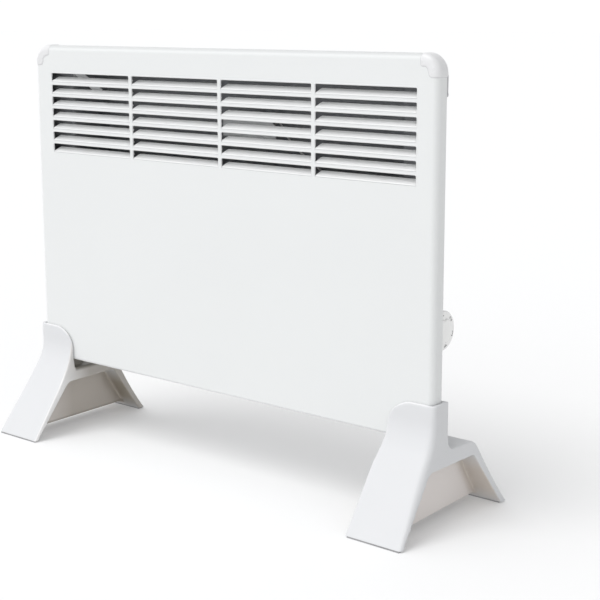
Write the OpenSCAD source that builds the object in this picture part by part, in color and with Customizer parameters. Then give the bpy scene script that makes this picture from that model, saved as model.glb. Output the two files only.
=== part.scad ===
// Free-standing convector heater with a louvred front panel on two moulded feet.
// Millimetres, +Z up, +Y towards the back, +X to the side that carries the dial.
// The origin is on the floor, under the middle of the footprint.

/* [Body] */
// Width of the front panel
body_w = 585; // [560:1:620]
// Height of the front panel
body_h = 389; // [380:1:420]
// How far the front panel wraps round the sides
shell_d = 17.3; // [15:0.1:20]
// Floor to the underside of the front panel
leg_h = 90; // [88:1:94]
// Rounding of the front panel's long edges
edge_r = 6.5; // [4:0.5:8]
// Sheet steel thickness
sheet_t = 1.0; // [0.8:0.1:1.2]
// Depth of the casing from the back of the front panel to the back wall
casing_d = 57.7; // [50:0.1:62]
// Width of the casing behind the front panel
casing_w = 486; // [480:1:490]

/* [Louvres] */
// Rows of slots
rows = 7; // [3:1:8]
// Height from the top edge to the first slot
slot_top = 33.4; // [30:0.1:50]
// Row to row distance
row_pitch = 14.25; // [14:0.05:16]
// Height of one slot
slot_h = 10.3; // [9:0.1:11]
// Width of the left pair of slots
slot_wl = 133.0; // [120:0.1:134]
// Width of the right pair of slots
slot_wr = 125.3; // [118:0.1:128]
// Steel left standing between columns
mullion = 5.0; // [4:0.1:8]
// Lean of each fin above the horizontal
fin_lean = 25.5; // [15:0.5:40]

/* [Dial] */
// Diameter of the dial's skirt
dial_d = 42.5; // [36:0.5:44]
// Height of the dial's axis above the floor
dial_z = 193.9; // [185:0.1:215]
// Turns of the grip's hollows
dial_lobes = 6; // [4:1:8]

/* [Feet] */
// Leg spread at the floor, from the middle of the footprint
foot_y = 94; // [92:0.5:98]
// Inner face of each foot, from the centre line
foot_x0 = 235.5; // [228:0.5:246]
// Lean of the front leg, as run over rise
foot_lean = 0.72; // [0.68:0.01:0.76]
// Lean of the rear leg, as run over rise
rear_lean = 0.63; // [0.58:0.01:0.68]
// Thickness of each of the two webs between the legs
web_t = 2.5; // [2:0.5:5]
// Height of the rubber strips under the legs
pad_t = 1.2; // [1:0.1:2]

/* [Element] */
// Length of the aluminium heating profile
elem_l = 380; // [300:5:390]
// Diameter of the heating rod
rod_d = 8.4; // [6:0.1:10]
// Height of the element's axis above the floor
elem_z = 220; // [218:1:235]

/* [Hidden] */
$fn = 48;
e = 0.01;

hw = body_w / 2;                 // half width of the panel
fy = -22.5;                      // front face
by = fy + shell_d;               // rear edge of the panel's rim
z0 = leg_h;                      // underside of the panel
z1 = leg_h + body_h;             // top of the panel
ret = 11;                        // depth of the rim's inward return, with the sheet
cw = casing_w / 2;
cy0 = by - 2 * sheet_t;          // front of the casing flange
cy1 = by + casing_d;             // outside of the back wall
cz0 = z0 + 14;                   // casing underside
cz1 = z1 - 14;                   // casing top
cap_r = 18.6;                    // outer corner radius of the corner caps
cap_p = 0.6;                     // how proud the caps stand
dial_y = 30;                     // dial axis behind the middle
ey = 18;                         // element axis behind the middle
stay_a = 30;                     // slope of the corner stay
col_x0 = -263.6;                 // left end of the first column

// arc points from angle a0 to a1 round c
function arc(c, r, a0, a1, n = 8) = [for (i = [0:n]) let (a = a0 + (a1 - a0) * i / n) [c[0] + r * cos(a), c[1] + r * sin(a)]];
// left edge and width of slot column i
function col_w(i) = i < 2 ? slot_wl : slot_wr;
function col_x(i) = i == 0 ? col_x0 : col_x(i - 1) + col_w(i - 1) + mullion;
function slot_z(k) = z1 - slot_top - k * row_pitch;   // top edge of row k

// ---------- shared shapes ----------

// box from corner p to corner q
module bx(p, q) { translate(p) cube([q[0] - p[0], q[1] - p[1], q[2] - p[2]]); }

// 2D outline with rounded lower corners (the front), x across, y back
module plan2(w, d, r) {
  translate([-w / 2, r]) square([w, d - r]);
  translate([-w / 2 + r, 0]) square([w - 2 * r, r + e]);
  for (s = [-1, 1]) translate([s * (w / 2 - r), r]) circle(r);
}

// 2D side outline: y back, z up, rounded at the top front and a little at the bottom front
module side2(d, za, zb, rt, rb) {
  translate([rb, za]) square([d - rb, rb + e]);
  translate([0, za + rb]) square([d, zb - za - rb - rt]);
  translate([rt, zb - rt - e]) square([d - rt, rt + e]);
  translate([rb, za + rb]) circle(rb);
  translate([rt, zb - rt]) circle(rt);
}

// panel envelope with rounded long edges
module envelope(w, d, za, zb, y, rt, rb) {
  intersection() {
    translate([0, y, za]) linear_extrude(zb - za) plan2(w, d, rt);
    translate([-w, y, 0]) rotate([90, 0, 90]) linear_extrude(2 * w) side2(d, za, zb, rt, rb);
  }
}

// XZ outline with both top corners rounded, extruded back from ya to yb
module round_top(w, za, zb, r, ya, yb) {
  translate([0, yb, 0]) rotate([90, 0, 0]) linear_extrude(yb - ya) {
    translate([-w / 2, za]) square([w, zb - za - r]);
    translate([-w / 2 + r, za]) square([w - 2 * r, zb - za]);
    for (s = [-1, 1]) translate([s * (w / 2 - r), zb - r]) circle(r);
  }
}

module cyl_y(x, y, z, r, l) { translate([x, y, z]) rotate([-90, 0, 0]) cylinder(r = r, h = l); }
module cyl_x(x, y, z, r, l) { translate([x, y, z]) rotate([0, 90, 0]) cylinder(r = r, h = l); }

// pan-head screw lying along Y: head outside at y, shank forwards
module screw_y(x, y, z, rh, hh, rs, ls) {
  translate([x, y, z]) rotate([-90, 0, 0]) difference() {
    union() {
      rotate_extrude() polygon([[0, -ls], [rs - 0.5, -ls], [rs, -ls + 0.7], [rs, 0.01], [rh, 0.01],
        [rh, hh * 0.35], [rh * 0.86, hh * 0.75], [rh * 0.6, hh], [0, hh]]);
    }
    for (a = [0, 90]) rotate(a) translate([-rh * 0.55, -0.4, hh - 1.1]) cube([rh * 1.1, 0.8, 2]);
  }
}

// tube swept along points p, n sides, closed at both ends
function unit(v) = v / norm(v);
function sweep_t(p, i) = unit(i == 0 ? p[1] - p[0] : i == len(p) - 1 ? p[i] - p[i - 1] : p[i + 1] - p[i - 1]);
function sweep_n(t) = unit(cross(t, abs(t[1]) < 0.9 ? [0, 1, 0] : [1, 0, 0]));
function sweep_ring(p, i, r, n) = let (t = sweep_t(p, i), u = sweep_n(t), v = cross(t, u))
  [for (k = [0:n - 1]) p[i] + r * (cos(360 * k / n) * u + sin(360 * k / n) * v)];
module sweep(p, r, n = 8) {
  m = len(p);
  polyhedron(
    points = [for (i = [0:m - 1]) each sweep_ring(p, i, r, n)],
    faces = concat([[for (k = [0:n - 1]) k]],
      [for (i = [0:m - 2]) for (k = [0:n - 1]) each
        [[i * n + k, (i + 1) * n + k, (i + 1) * n + (k + 1) % n], [i * n + k, (i + 1) * n + (k + 1) % n, i * n + (k + 1) % n]]],
      [[for (k = [0:n - 1]) (m - 1) * n + n - 1 - k]]));
}
// smooth curve through hand-set points
function cr(a, b, c, d, t) = 0.5 * (2 * b + (c - a) * t + (2 * a - 5 * b + 4 * c - d) * t * t + (3 * b - a - 3 * c + d) * t * t * t);
function smooth(q, s = 5) = let (n = len(q)) concat([for (i = [0:n - 2]) for (j = [0:s - 1])
  cr(q[max(i - 1, 0)], q[i], q[i + 1], q[min(i + 2, n - 1)], j / s)], [q[n - 1]]);

// ---------- front panel ----------

module slots2() {
  for (k = [0:rows - 1]) for (i = [0:3])
    translate([col_x(i), slot_z(k) - slot_h]) square([col_w(i), slot_h]);
}

module front_panel() {
  color([0.93, 0.94, 0.95]) union() {
    difference() {
      intersection() {
        envelope(body_w, shell_d, z0, z1, fy, edge_r, 3);
        round_top(body_w, z0 - 1, z1, 20, fy - 1, by + 1);
      }
      // hollow behind the sheet
      difference() {
        envelope(body_w - 2 * sheet_t, shell_d - 2 * sheet_t, z0 + sheet_t, z1 - sheet_t, fy + sheet_t, edge_r - sheet_t, 2);
      }
      // opening between the returns
      bx([-hw + ret, by - 2 * sheet_t, z0 + ret], [hw - ret, by + 1, z1 - ret]);
      // slots
      translate([0, fy + 2 * sheet_t, 0]) rotate([90, 0, 0]) linear_extrude(4 * sheet_t) slots2();
      // screw holes in the returns
      for (s = [-1, 1]) {
        for (z = [165, 290, 425]) cyl_y(s * 286, by - 2, z, 1.75, 3);
        for (z = [104, 120]) cyl_y(s * 286, by - 2, z, 2.0, 3);
      }
    }
    // fins, cut on three sides and bent back and up
    for (k = [0:rows - 1]) for (i = [0:3])
      translate([col_x(i) + 0.4, fy, slot_z(k) - slot_h]) rotate([fin_lean, 0, 0])
        translate([0, 0, -sheet_t]) cube([col_w(i) - 0.8, slot_h, sheet_t]);
  }
}

// ---------- rear casing ----------

module vent_rows(n, m, w, h, px, py) {
  for (i = [0:n - 1]) for (j = [0:m - 1])
    translate([(i - (n - 1) / 2) * px - w / 2, (j - (m - 1) / 2) * py - h / 2]) square([w, h]);
}

module rear_casing() {
  color([0.78, 0.79, 0.80]) difference() {
    union() {
      difference() {
        bx([-cw, cy0, cz0], [cw, cy1, cz1]);
        bx([-cw + sheet_t, cy0 - 1, cz0 + sheet_t], [cw - sheet_t, cy1 - sheet_t, cz1 - sheet_t]);
      }
      // flange that sits behind the panel's returns
      difference() {
        bx([-289, cy0, z0 + 4], [289, cy0 + sheet_t, z1 - 4]);
        bx([-cw + sheet_t, cy0 - 1, cz0 + sheet_t], [cw - sheet_t, cy0 + 3, cz1 - sheet_t]);
        for (s = [-1, 1]) translate([s * 289, cy0 - 1, z1 - 4]) rotate([0, 45, 0]) cube([24, 6, 24], center = true);
      }
    }
    // air inlet in the underside
    translate([0, 24, cz0 - 1]) linear_extrude(3) vent_rows(16, 3, 16, 5, 23, 11);
    // air inlet low in the back wall
    translate([0, cy1 + 1, 134]) rotate([90, 0, 0]) linear_extrude(3) vent_rows(14, 3, 20, 4, 25, 9);
    // holes for a wall bracket
    for (s = [-1, 1]) cyl_y(s * 160, cy1 - 2, 415, 2.75, 4);
    // bracket rivets
    for (s = [-1, 1]) for (z = [elem_z - 16, elem_z + 16]) cyl_y(s * 214, cy1 - 2, z, 1.65, 4);
    // flange holes
    for (s = [-1, 1]) {
      for (z = [165, 290, 425]) cyl_y(s * 286, cy0 - 1, z, 1.75, 3);
      for (z = [104, 120]) cyl_y(s * 286, cy0 - 1, z, 2.3, 3);
    }
    // thermostat bush and housing screws in the side wall
    cyl_x(cw - 2, dial_y, dial_z, 5.2, 4);
    for (z = [dial_z - 30, dial_z + 30]) cyl_x(cw - 2, dial_y, z, 1.55, 4);
    // gland and earth screw
    translate([205, 28, cz0 - 1]) cylinder(r = 6.1, h = 4);
    cyl_y(186, cy1 - 2, 118, 2.05, 4);
    // holes for the stay and the cut-out bracket
    cyl_x(-cw - 1, 0, 447, 1.65, 4);
    cyl_y(-7, cy1 - 2, 389, 1.65, 4);
  }
}

// ---------- corner caps ----------

module cap_right() {
  difference() {
    union() {
      // skin over the corner
      intersection() {
        envelope(body_w + 2 * cap_p, shell_d + cap_p + 1.5, z0, z1 + cap_p, fy - cap_p, edge_r + cap_p, 3);
        round_top(body_w + 2 * cap_p, z0, z1 + cap_p, cap_r, fy - 2, by + 2);
        union() {
          // front lobe
          translate([0, by, 0]) rotate([90, 0, 0]) linear_extrude(shell_d + 2) difference() {
            translate([hw - 20.2, z1 - 22]) square([30, 30]);
            translate([hw - 20.5, z1 - 22]) circle(11.7);
          }
          // wrap over the top and the side
          bx([hw - 21, fy + edge_r, z1 - 22], [hw + 3, by + 1.5, z1 + 3]);
        }
      }
      // rear tab with its snap
      bx([hw - 6, by + 0.1, z1 - 42], [hw + cap_p, by + 1.5, z1 - 21]);
      cyl_y(hw - 2.2, by + 0.1, z1 - 40, 3.6, 1.4);
    }
    // panel inside the cap
    difference() {
      intersection() {
        envelope(body_w + 0.1, shell_d + 0.1, z0 - 5, z1 + 0.05, fy - 0.05, edge_r, 3);
        round_top(body_w + 0.1, z0 - 6, z1 + 0.05, 19.9, fy - 2, by + 0.05);
      }
    }
    // the casing side of the rear plate stays open
    bx([hw - 60, by + 0.05, z0], [hw - 12, by + 3, z1 - 11]);
  }
}
module corner_cap_right() { color([0.91, 0.91, 0.92]) cap_right(); }
module corner_cap_left() { color([0.91, 0.91, 0.92]) mirror([1, 0, 0]) cap_right(); }

// ---------- feet ----------

arc_r = 60;                                  // sweep from the leg into the collar
lean_a = atan(foot_lean);
tz = 79.3;                                     // height where the straight leg ends
ty = -foot_y + foot_lean * tz;
ac = [ty - arc_r * cos(lean_a), tz + arc_r * sin(lean_a)];
z_on = z0;
a_on = asin((ac[1] - z_on) / arc_r);
bridge_z = 79.5;                              // top of the bridge
arch_z = 64.3;                               // underside of the bridge
coll_x = hw + 4.5;                           // outside of the collar
coll_y = 0;                                  // back of the collar
coll_z = z0 + 41;                            // top of the collar

// side outline of the two legs and their bridge, y back, z up
module legs2() {
  difference() {
    polygon(concat(
      [[-foot_y + foot_lean * pad_t, pad_t]],
      [for (i = [0:8]) let (a = -lean_a + (lean_a - a_on) * i / 8) [ac[0] + arc_r * cos(a), ac[1] + arc_r * sin(a)]],
      [[fy - 0.3, z_on], [fy - 0.3, bridge_z]],
      arc([foot_y - rear_lean * (bridge_z - 13) - 13 * norm([1, rear_lean]), bridge_z - 13], 13, 90, atan(rear_lean), 6),
      [[foot_y - rear_lean * pad_t, pad_t]]));
    arch2();
  }
}
// the arch between the legs
module arch2() {
  ya = 4.8 - foot_y;
  yb = foot_y - 8.7;
  polygon(concat(
    [[ya - 0.83 * 2, -2]],
    arc([ya + 0.83 * (arch_z - 9) + 9 * norm([1, 0.83]), arch_z - 9], 9, 180 - atan(0.83), 90, 5),
    arc([yb - 0.68 * (arch_z - 6) - 6 * norm([1, 0.68]), arch_z - 6], 6, 90, atan(0.68), 5),
    [[yb + 0.68 * 2, -2]]));
}

module foot() {
  difference() {
    union() {
      // legs and bridge, trimmed to the flared outer face
      difference() {
        translate([foot_x0, 0, 0]) rotate([90, 0, 90]) linear_extrude(90) legs2();
        translate([coll_x, -32, z0]) rotate([0, -atan(0.11), -atan(0.0515)]) translate([0, -200, -200]) cube([200, 400, 400]);
      }
      // two webs between the legs, hollow between them
      for (x = [22.5, 48.5 - web_t]) translate([foot_x0 + x, 0, 0]) rotate([90, 0, 90]) linear_extrude(web_t) intersection() {
        offset(delta = 0.4) arch2();
        translate([-100, 10]) square([200, arch_z - 9]);
      }
      // saddle under the panel
      bx([foot_x0 + 10.5, fy - 0.3, bridge_z - 1], [coll_x, coll_y, z0 - 0.1]);
      // fillet behind the collar
      translate([foot_x0 + 14.5, 0, 0]) rotate([90, 0, 90]) linear_extrude(coll_x - foot_x0 - 14.5) difference() {
        translate([coll_y - 1, bridge_z - 1]) square([8, 8]);
        translate([coll_y + 7, bridge_z + 7]) circle(7);
      }
      // tongue in front of the panel
      intersection() {
        translate([foot_x0, 0, 0]) rotate([90, 0, 90]) linear_extrude(coll_x - foot_x0)
          polygon(concat([[fy - 0.3, z_on]],
            [for (i = [0:5]) let (a = -a_on + a_on * i / 5) [ac[0] + arc_r * cos(a), ac[1] + arc_r * sin(a)]],
            [[fy - 3.2, coll_z], [fy - 0.3, coll_z]]));
        translate([0, 50, 0]) rotate([90, 0, 0]) linear_extrude(100) difference() {
          translate([foot_x0, z_on - 5]) square([coll_x - foot_x0, coll_z - z_on + 5]);
          difference() {
            translate([foot_x0 - 1, coll_z - 24]) square([25, 25]);
            translate([foot_x0 + 24, coll_z - 24]) circle(24);
          }
        }
      }
      // side wall and rear wall of the collar
      bx([hw + 0.3, fy - 1, z0 - 1], [coll_x, coll_y, coll_z]);
      difference() {
        bx([foot_x0 + 14.5, by + 0.5, z0 - 1], [coll_x, coll_y, coll_z]);
        translate([foot_x0 + 14.5, -20, coll_z]) rotate([0, 45, 0]) cube([22, 60, 22], center = true);
      }
    }
    // soft outer edges of the collar
    difference() {
      bx([coll_x - 4, -40, z0], [coll_x + 1, fy + 0.8, coll_z + 1]);
      translate([coll_x - 4, fy + 0.8, z0 - 1]) cylinder(r = 4, h = 60);
    }
    // screw holes
    for (z = [104, 120]) cyl_y(286, by - 1, z, 2.3, 12);
  }
}
module foot_right() { color([0.92, 0.92, 0.93]) foot(); }
module foot_left() { color([0.92, 0.92, 0.93]) mirror([1, 0, 0]) foot(); }

module foot_screws() {
  color([0.75, 0.75, 0.76]) for (s = [-1, 1]) for (z = [104, 120]) screw_y(s * 286, coll_y, z, 3.6, 2.6, 1.95, 12);
}

// rubber strips under the four leg ends
module foot_pads() {
  color([0.16, 0.16, 0.17]) for (s = [-1, 1]) {
    bx([s > 0 ? 238 : -301, 1.4 - foot_y, 0], [s > 0 ? 301 : -238, 5.3 - foot_y, pad_t]);
    bx([s > 0 ? 238 : -309, foot_y - 9, 0], [s > 0 ? 309 : -238, foot_y - 1.4, pad_t]);
  }
}

module casing_screws() {
  color([0.75, 0.75, 0.76]) for (s = [-1, 1]) for (z = [165, 290, 425]) screw_y(s * 286, by, z, 3.4, 2.3, 1.7, 8);
}

// ---------- heating element ----------

module heating_profile() {
  color([0.80, 0.81, 0.82]) translate([-elem_l / 2, ey, elem_z]) rotate([90, 0, 90]) linear_extrude(elem_l) difference() {
    union() {
      circle(7);
      for (a = [45, 135]) rotate(a) square([58, 1.8], center = true);
      for (a = [45:90:315]) rotate(a) for (r = [13, 19, 25]) translate([r, 0]) square([1.4, 9], center = true);
      square([30, 1.8], center = true);
    }
    circle(rod_d / 2 + 0.05);
  }
}

module heating_rod() {
  color([0.55, 0.54, 0.52]) cyl_x(-222, ey, elem_z, rod_d / 2, 444);
}

module element_terminals() {
  color([0.80, 0.70, 0.42]) for (s = [-1, 1]) translate([s * 222, ey, elem_z]) rotate([0, s * 90, 0]) {
    cylinder(r = 2.6, h = 2);
    cylinder(r = 1.6, h = 7);
    translate([-3.2, -0.4, 6]) cube([6.4, 0.8, 8]);
  }
}

module bracket() {
  difference() {
    union() {
      bx([204.5, 2, elem_z - 24], [205.5, cy1 - sheet_t, elem_z + 24]);
      bx([204.5, cy1 - 2 * sheet_t, elem_z - 24], [221, cy1 - sheet_t, elem_z + 24]);
    }
    cyl_x(203, ey, elem_z, 8.0, 4);
    for (z = [elem_z - 16, elem_z + 16]) cyl_y(214, cy1 - 4, z, 1.65, 5);
    for (z = [elem_z - 26, elem_z + 26]) translate([200, 2, z]) rotate([45, 0, 0]) cube([10, 14, 14], center = true);
  }
}
module element_bracket_right() { color([0.70, 0.71, 0.72]) bracket(); }
module element_bracket_left() { color([0.70, 0.71, 0.72]) mirror([1, 0, 0]) bracket(); }

module ceramic_bushings() {
  color([0.92, 0.90, 0.84]) for (s = [-1, 1]) translate([s * 205, ey, elem_z]) rotate([0, s * 90, 0])
    rotate_extrude() polygon([[rod_d / 2 + 0.05, -5], [10.5, -5], [10.5, -0.5], [7.95, -0.5], [7.95, 4.5], [6.6, 6], [rod_d / 2 + 0.05, 6]]);
}

module bracket_rivets() {
  color([0.78, 0.78, 0.79]) {
    for (s = [-1, 1]) for (z = [elem_z - 16, elem_z + 16]) translate([s * 214, cy1, z]) rotate([-90, 0, 0])
      rotate_extrude() polygon([[0, -4.2], [2, -4.2], [2.8, -3.2], [2.8, -2], [1.6, -2], [1.6, 0], [3.2, 0], [2.9, 0.7], [1.8, 1.2], [0, 1.3]]);
    translate([-7, cy1, 389]) rotate([-90, 0, 0])
      rotate_extrude() polygon([[0, -4.2], [2, -4.2], [2.8, -3.2], [2.8, -2], [1.6, -2], [1.6, 0], [3.2, 0], [2.9, 0.7], [1.8, 1.2], [0, 1.3]]);
    translate([-cw, 0, 447]) rotate([0, -90, 0])
      rotate_extrude() polygon([[0, -4.2], [2, -4.2], [2.8, -3.2], [2.8, -2], [1.6, -2], [1.6, 0], [3.2, 0], [2.9, 0.7], [1.8, 1.2], [0, 1.3]]);
  }
}

// sheet that keeps the back wall cool
module heat_shield() {
  color([0.62, 0.63, 0.64]) {
    bx([-196, 44, 158], [196, 44.8, 300]);
    bx([-196, 44, 158], [196, cy1 - sheet_t, 158.8]);
    bx([-196, 44, 299.2], [196, cy1 - sheet_t, 300]);
  }
}

// diagonal stay across the casing's top left corner
module corner_stay() {
  color([0.74, 0.75, 0.75]) difference() {
    union() {
      intersection() {
        translate([-219, -6.4, 437.5]) rotate([0, stay_a, 0]) translate([-40, 0, -4.7]) cube([68, 1, 9.4]);
        bx([-cw + sheet_t, -8, 400], [-150, 8, 460]);
      }
      bx([-cw + sheet_t, -6.4, 441], [-cw + 2 * sheet_t, 6, 453]);
    }
    cyl_x(-cw, 0, 447, 1.65, 4);
  }
}

module cutout_bracket() {
  color([0.74, 0.75, 0.75]) difference() {
    union() {
      translate([0, 18.5, 0]) rotate([90, 0, 0]) linear_extrude(1) polygon([[-20, 380.5], [57, 380.5], [57, 394.4], [50, 399.5], [-20, 399.5]]);
      bx([-20, 17.5, 380.5], [6, cy1 - sheet_t, 381.5]);
      bx([-20, cy1 - 2 * sheet_t, 380.5], [6, cy1 - sheet_t, 397]);
    }
    cyl_y(-7, cy1 - 4, 389, 1.65, 5);
  }
}

// snap-action disc with its two tabs
module overheat_cutout() {
  color([0.25, 0.25, 0.26]) {
    translate([34, 18.5, 390]) rotate([-90, 0, 0]) {
      cylinder(r = 9, h = 2);
      cylinder(r = 7.8, h = 9);
    }
    for (s = [-1, 1]) bx([34 + s * 5 - 2.4, 27.4, 389.6], [34 + s * 5 + 2.4, 35.5, 390.4]);
  }
}

// ---------- thermostat and dial ----------

module thermostat_body() {
  color([0.30, 0.30, 0.31]) difference() {
    union() {
      bx([cw - 22, 11, dial_z - 17], [cw - sheet_t, 46, dial_z + 17]);
      cyl_x(cw - sheet_t - 1, dial_y, dial_z, 5.1, 8);
      for (y = [17, 28.5, 40]) bx([cw - 30, y - 3, dial_z + 6], [cw - 21.9, y + 3, dial_z + 6.8]);
    }
    cyl_x(cw - 12, dial_y, dial_z, 3.06, 30);
  }
}

module thermostat_spindle() {
  color([0.80, 0.80, 0.81]) intersection() {
    cyl_x(cw - 11.5, dial_y, dial_z, 3.0, 33);
    union() {
      bx([cw - 20, dial_y - 5, dial_z - 5], [cw + 12.4, dial_y + 5, dial_z + 5]);
      bx([cw + 12, dial_y - 5, dial_z - 5], [cw + 40, dial_y + 5, dial_z + 1.5]);
    }
  }
}

kx = 258.2;                                  // back of the dial
module thermostat_knob() {
  color([0.93, 0.93, 0.91]) difference() {
    translate([kx, dial_y, dial_z]) rotate([0, 90, 0]) difference() {
      union() {
        rotate_extrude($fn = 96) polygon(concat([[0, 1.5], [dial_d / 2 - 2, 0], [dial_d / 2 - 0.6, 0]], [[dial_d / 2, 1]],
          arc([dial_d / 2 - 2, 10.1], 2, 0, 80, 4), [[14, 12.9], [0, 13.2]]));
        difference() {
          rotate_extrude($fn = 96) polygon(concat([[0, 12], [13.5, 12]], arc([11.5, 14.2], 2, 0, 80, 4), [[0, 16.6]]));
          for (i = [0:dial_lobes - 1]) rotate(30 + 360 / dial_lobes * i) translate([16.6, 0, 12.8]) cylinder(r = 5, h = 6);
        }
      }
      // hollow behind the skirt
      translate([0, 0, -1]) difference() {
        cylinder(r = dial_d / 2 - 2.2, h = 9);
        translate([0, 0, -1]) cylinder(r = 5.2, h = 12);
      }
    }
    // flatted bore for the spindle
    intersection() {
      cyl_x(kx - 1, dial_y, dial_z, 3.02, 10.5);
      bx([kx - 2, dial_y - 5, dial_z - 5], [kx + 20, dial_y + 5, dial_z + 1.53]);
    }
  }
}

// plastic housing between the casing and the dial
module dial_housing() {
  color([0.90, 0.90, 0.90]) difference() {
    union() {
      translate([cw, 0, dial_z]) rotate([0, 90, 0]) linear_extrude(13) hull() {
        for (y = [6, 44]) for (z = [-34, 34]) translate([z, y]) circle(6, $fn = 32);
      }
    }
    translate([cw - 1, 0, dial_z]) rotate([0, 90, 0]) linear_extrude(12) difference() {
      translate([-37.5, 2.5]) square([75, 45]);
      for (z = [-30, 30]) translate([z, dial_y]) circle(4);
    }
    cyl_x(cw + 5, dial_y, dial_z, 5.6, 20);
    for (z = [dial_z - 30, dial_z + 30]) {
      cyl_x(cw - 1, dial_y, z, 1.75, 20);
      cyl_x(cw + 11, dial_y, z, 3.4, 5);
    }
  }
}

module housing_screws() {
  color([0.75, 0.75, 0.76]) for (z = [dial_z - 30, dial_z + 30]) translate([cw + 11, dial_y, z]) rotate([0, 90, 0]) difference() {
    rotate_extrude() polygon([[0, -15], [1.0, -15], [1.5, -14], [1.5, 0], [3.1, 0], [3.1, 0.6], [2.4, 1.4], [0, 1.8]]);
    for (a = [0, 90]) rotate(a) translate([-1.7, -0.3, 0.9]) cube([3.4, 0.6, 2]);
  }
}

module sensor_bulb() {
  color([0.78, 0.52, 0.36]) union() {
    cyl_x(150, 12, 122, 3, 62);
    cyl_x(212, 12, 122, 1.6, 6);
  }
}

capillary_route = [[218.2, 12, 122], [224, 12, 123], [229, 11, 130], [230, 12, 145], [227, 18, 158], [222, 26, 166], [219, 30, 172], [216, 30, 184], [217, 30, 190], [220.2, 30, 191.6]];
module capillary_tube() {
  color([0.78, 0.52, 0.36]) sweep(smooth(capillary_route, 3), 0.7, 8);
}

// ---------- supply side ----------

module terminal_block() {
  color([0.90, 0.90, 0.88]) difference() {
    bx([184, cy1 - sheet_t - 15, 136], [220, cy1 - sheet_t, 152]);
    for (x = [191, 202, 213]) {
      cyl_y(x, cy1 - 20, 144, 2.4, 12);
      translate([x, cy1 - 10, 130]) cylinder(r = 1.9, h = 30);
    }
  }
}

// screwed gland in the underside, with nothing in it
module cable_gland() {
  color([0.18, 0.18, 0.19]) translate([205, 28, cz0]) difference() {
    union() {
      translate([0, 0, -2.5]) cylinder(r = 10, h = 2.5);
      translate([0, 0, -9.5]) cylinder(r = 8.4, h = 7.2);
      translate([0, 0, -e]) cylinder(r = 6, h = 9);
    }
    // narrow where it grips, wider through the thread
    translate([0, 0, -12]) cylinder(r = 4.0, h = 11.5);
    translate([0, 0, -0.5]) cylinder(r = 4.6, h = 20);
  }
}
module gland_nut() {
  color([0.18, 0.18, 0.19]) translate([205, 28, cz0 + sheet_t]) difference() {
    cylinder(r = 10, h = 4, $fn = 6);
    translate([0, 0, -1]) cylinder(r = 6.05, h = 8);
  }
}
module earth_screw() {
  color([0.82, 0.72, 0.42]) union() {
    screw_y(186, cy1, 118, 3.8, 2.6, 2.0, 11);
    cyl_y(186, cy1 - sheet_t - 3.2, 118, 4.2, 3.2);
  }
}

live_route = [[213, 42.5, 149], [213, 42, 157], [213, 34, 170], [211, 24, 180], [210, 17, 190], [212, 16.5, 195.8], [216, 17, 198.7]];
switched_route = [[216, 40, 201.9], [213, 41, 212], [210, 42, 230], [207, 41, 248], [184, 38, 290], [140, 34, 328],
  [104.6, 33.5, 350], [81, 33.5, 365], [63, 33.5, 380], [56.5, 33.5, 388], [51.6, 33.7, 395], [47, 35, 397.5], [42.5, 36, 395.5], [39, 34, 391.6]];
element_route = [[29, 33, 388.4], [27.5, 34.5, 383.5], [24, 34.8, 379.3], [17, 35, 374.8], [5, 36, 372.6], [-60, 38, 372.5], [-130, 38, 372.5],
  [-182, 37.6, 370.5], [-191.4, 37.5, 362], [-191.4, 37.5, 330], [-196, 37, 300], [-212, 33, 265], [-226, 26, 240], [-232, 20.6, 229], [-232, 19.6, 220]];
neutral_route = [[202, 42.5, 149], [202, 42, 157], [206, 36, 170], [209, 30, 185], [209.3, 30, 200], [211, 32, 213], [218, 30, 220], [226, 24, 223], [232, 19.6, 221]];
earth_route = [[191.4, 49.4, 118], [194, 47, 120], [194, 43.6, 126], [191.4, 42.5, 131], [191, 42.5, 139]];
module live_wire() { color([0.70, 0.69, 0.68]) sweep(smooth(live_route, 3), 1.1, 8); }
module switched_wire() { color([0.70, 0.69, 0.68]) sweep(smooth(switched_route, 3), 1.1, 8); }
module element_wire() { color([0.70, 0.69, 0.68]) sweep(smooth(element_route, 3), 1.1, 8); }
module neutral_wire() { color([0.30, 0.42, 0.66]) sweep(smooth(neutral_route, 3), 1.1, 8); }
module earth_wire() { color([0.50, 0.66, 0.24]) sweep(smooth(earth_route, 3), 1.1, 8); }

front_panel();
rear_casing();
corner_cap_left();
corner_cap_right();
foot_left();
foot_right();
foot_screws();
foot_pads();
casing_screws();
heating_profile();
heating_rod();
element_terminals();
element_bracket_left();
element_bracket_right();
ceramic_bushings();
bracket_rivets();
heat_shield();
corner_stay();
cutout_bracket();
overheat_cutout();
thermostat_body();
thermostat_spindle();
thermostat_knob();
dial_housing();
housing_screws();
sensor_bulb();
capillary_tube();
terminal_block();
cable_gland();
gland_nut();
earth_screw();
live_wire();
switched_wire();
element_wire();
neutral_wire();
earth_wire();
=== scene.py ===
import math

import bmesh
import bpy
import numpy as np
from mathutils import Matrix, Vector
from mathutils.geometry import delaunay_2d_cdt


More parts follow.
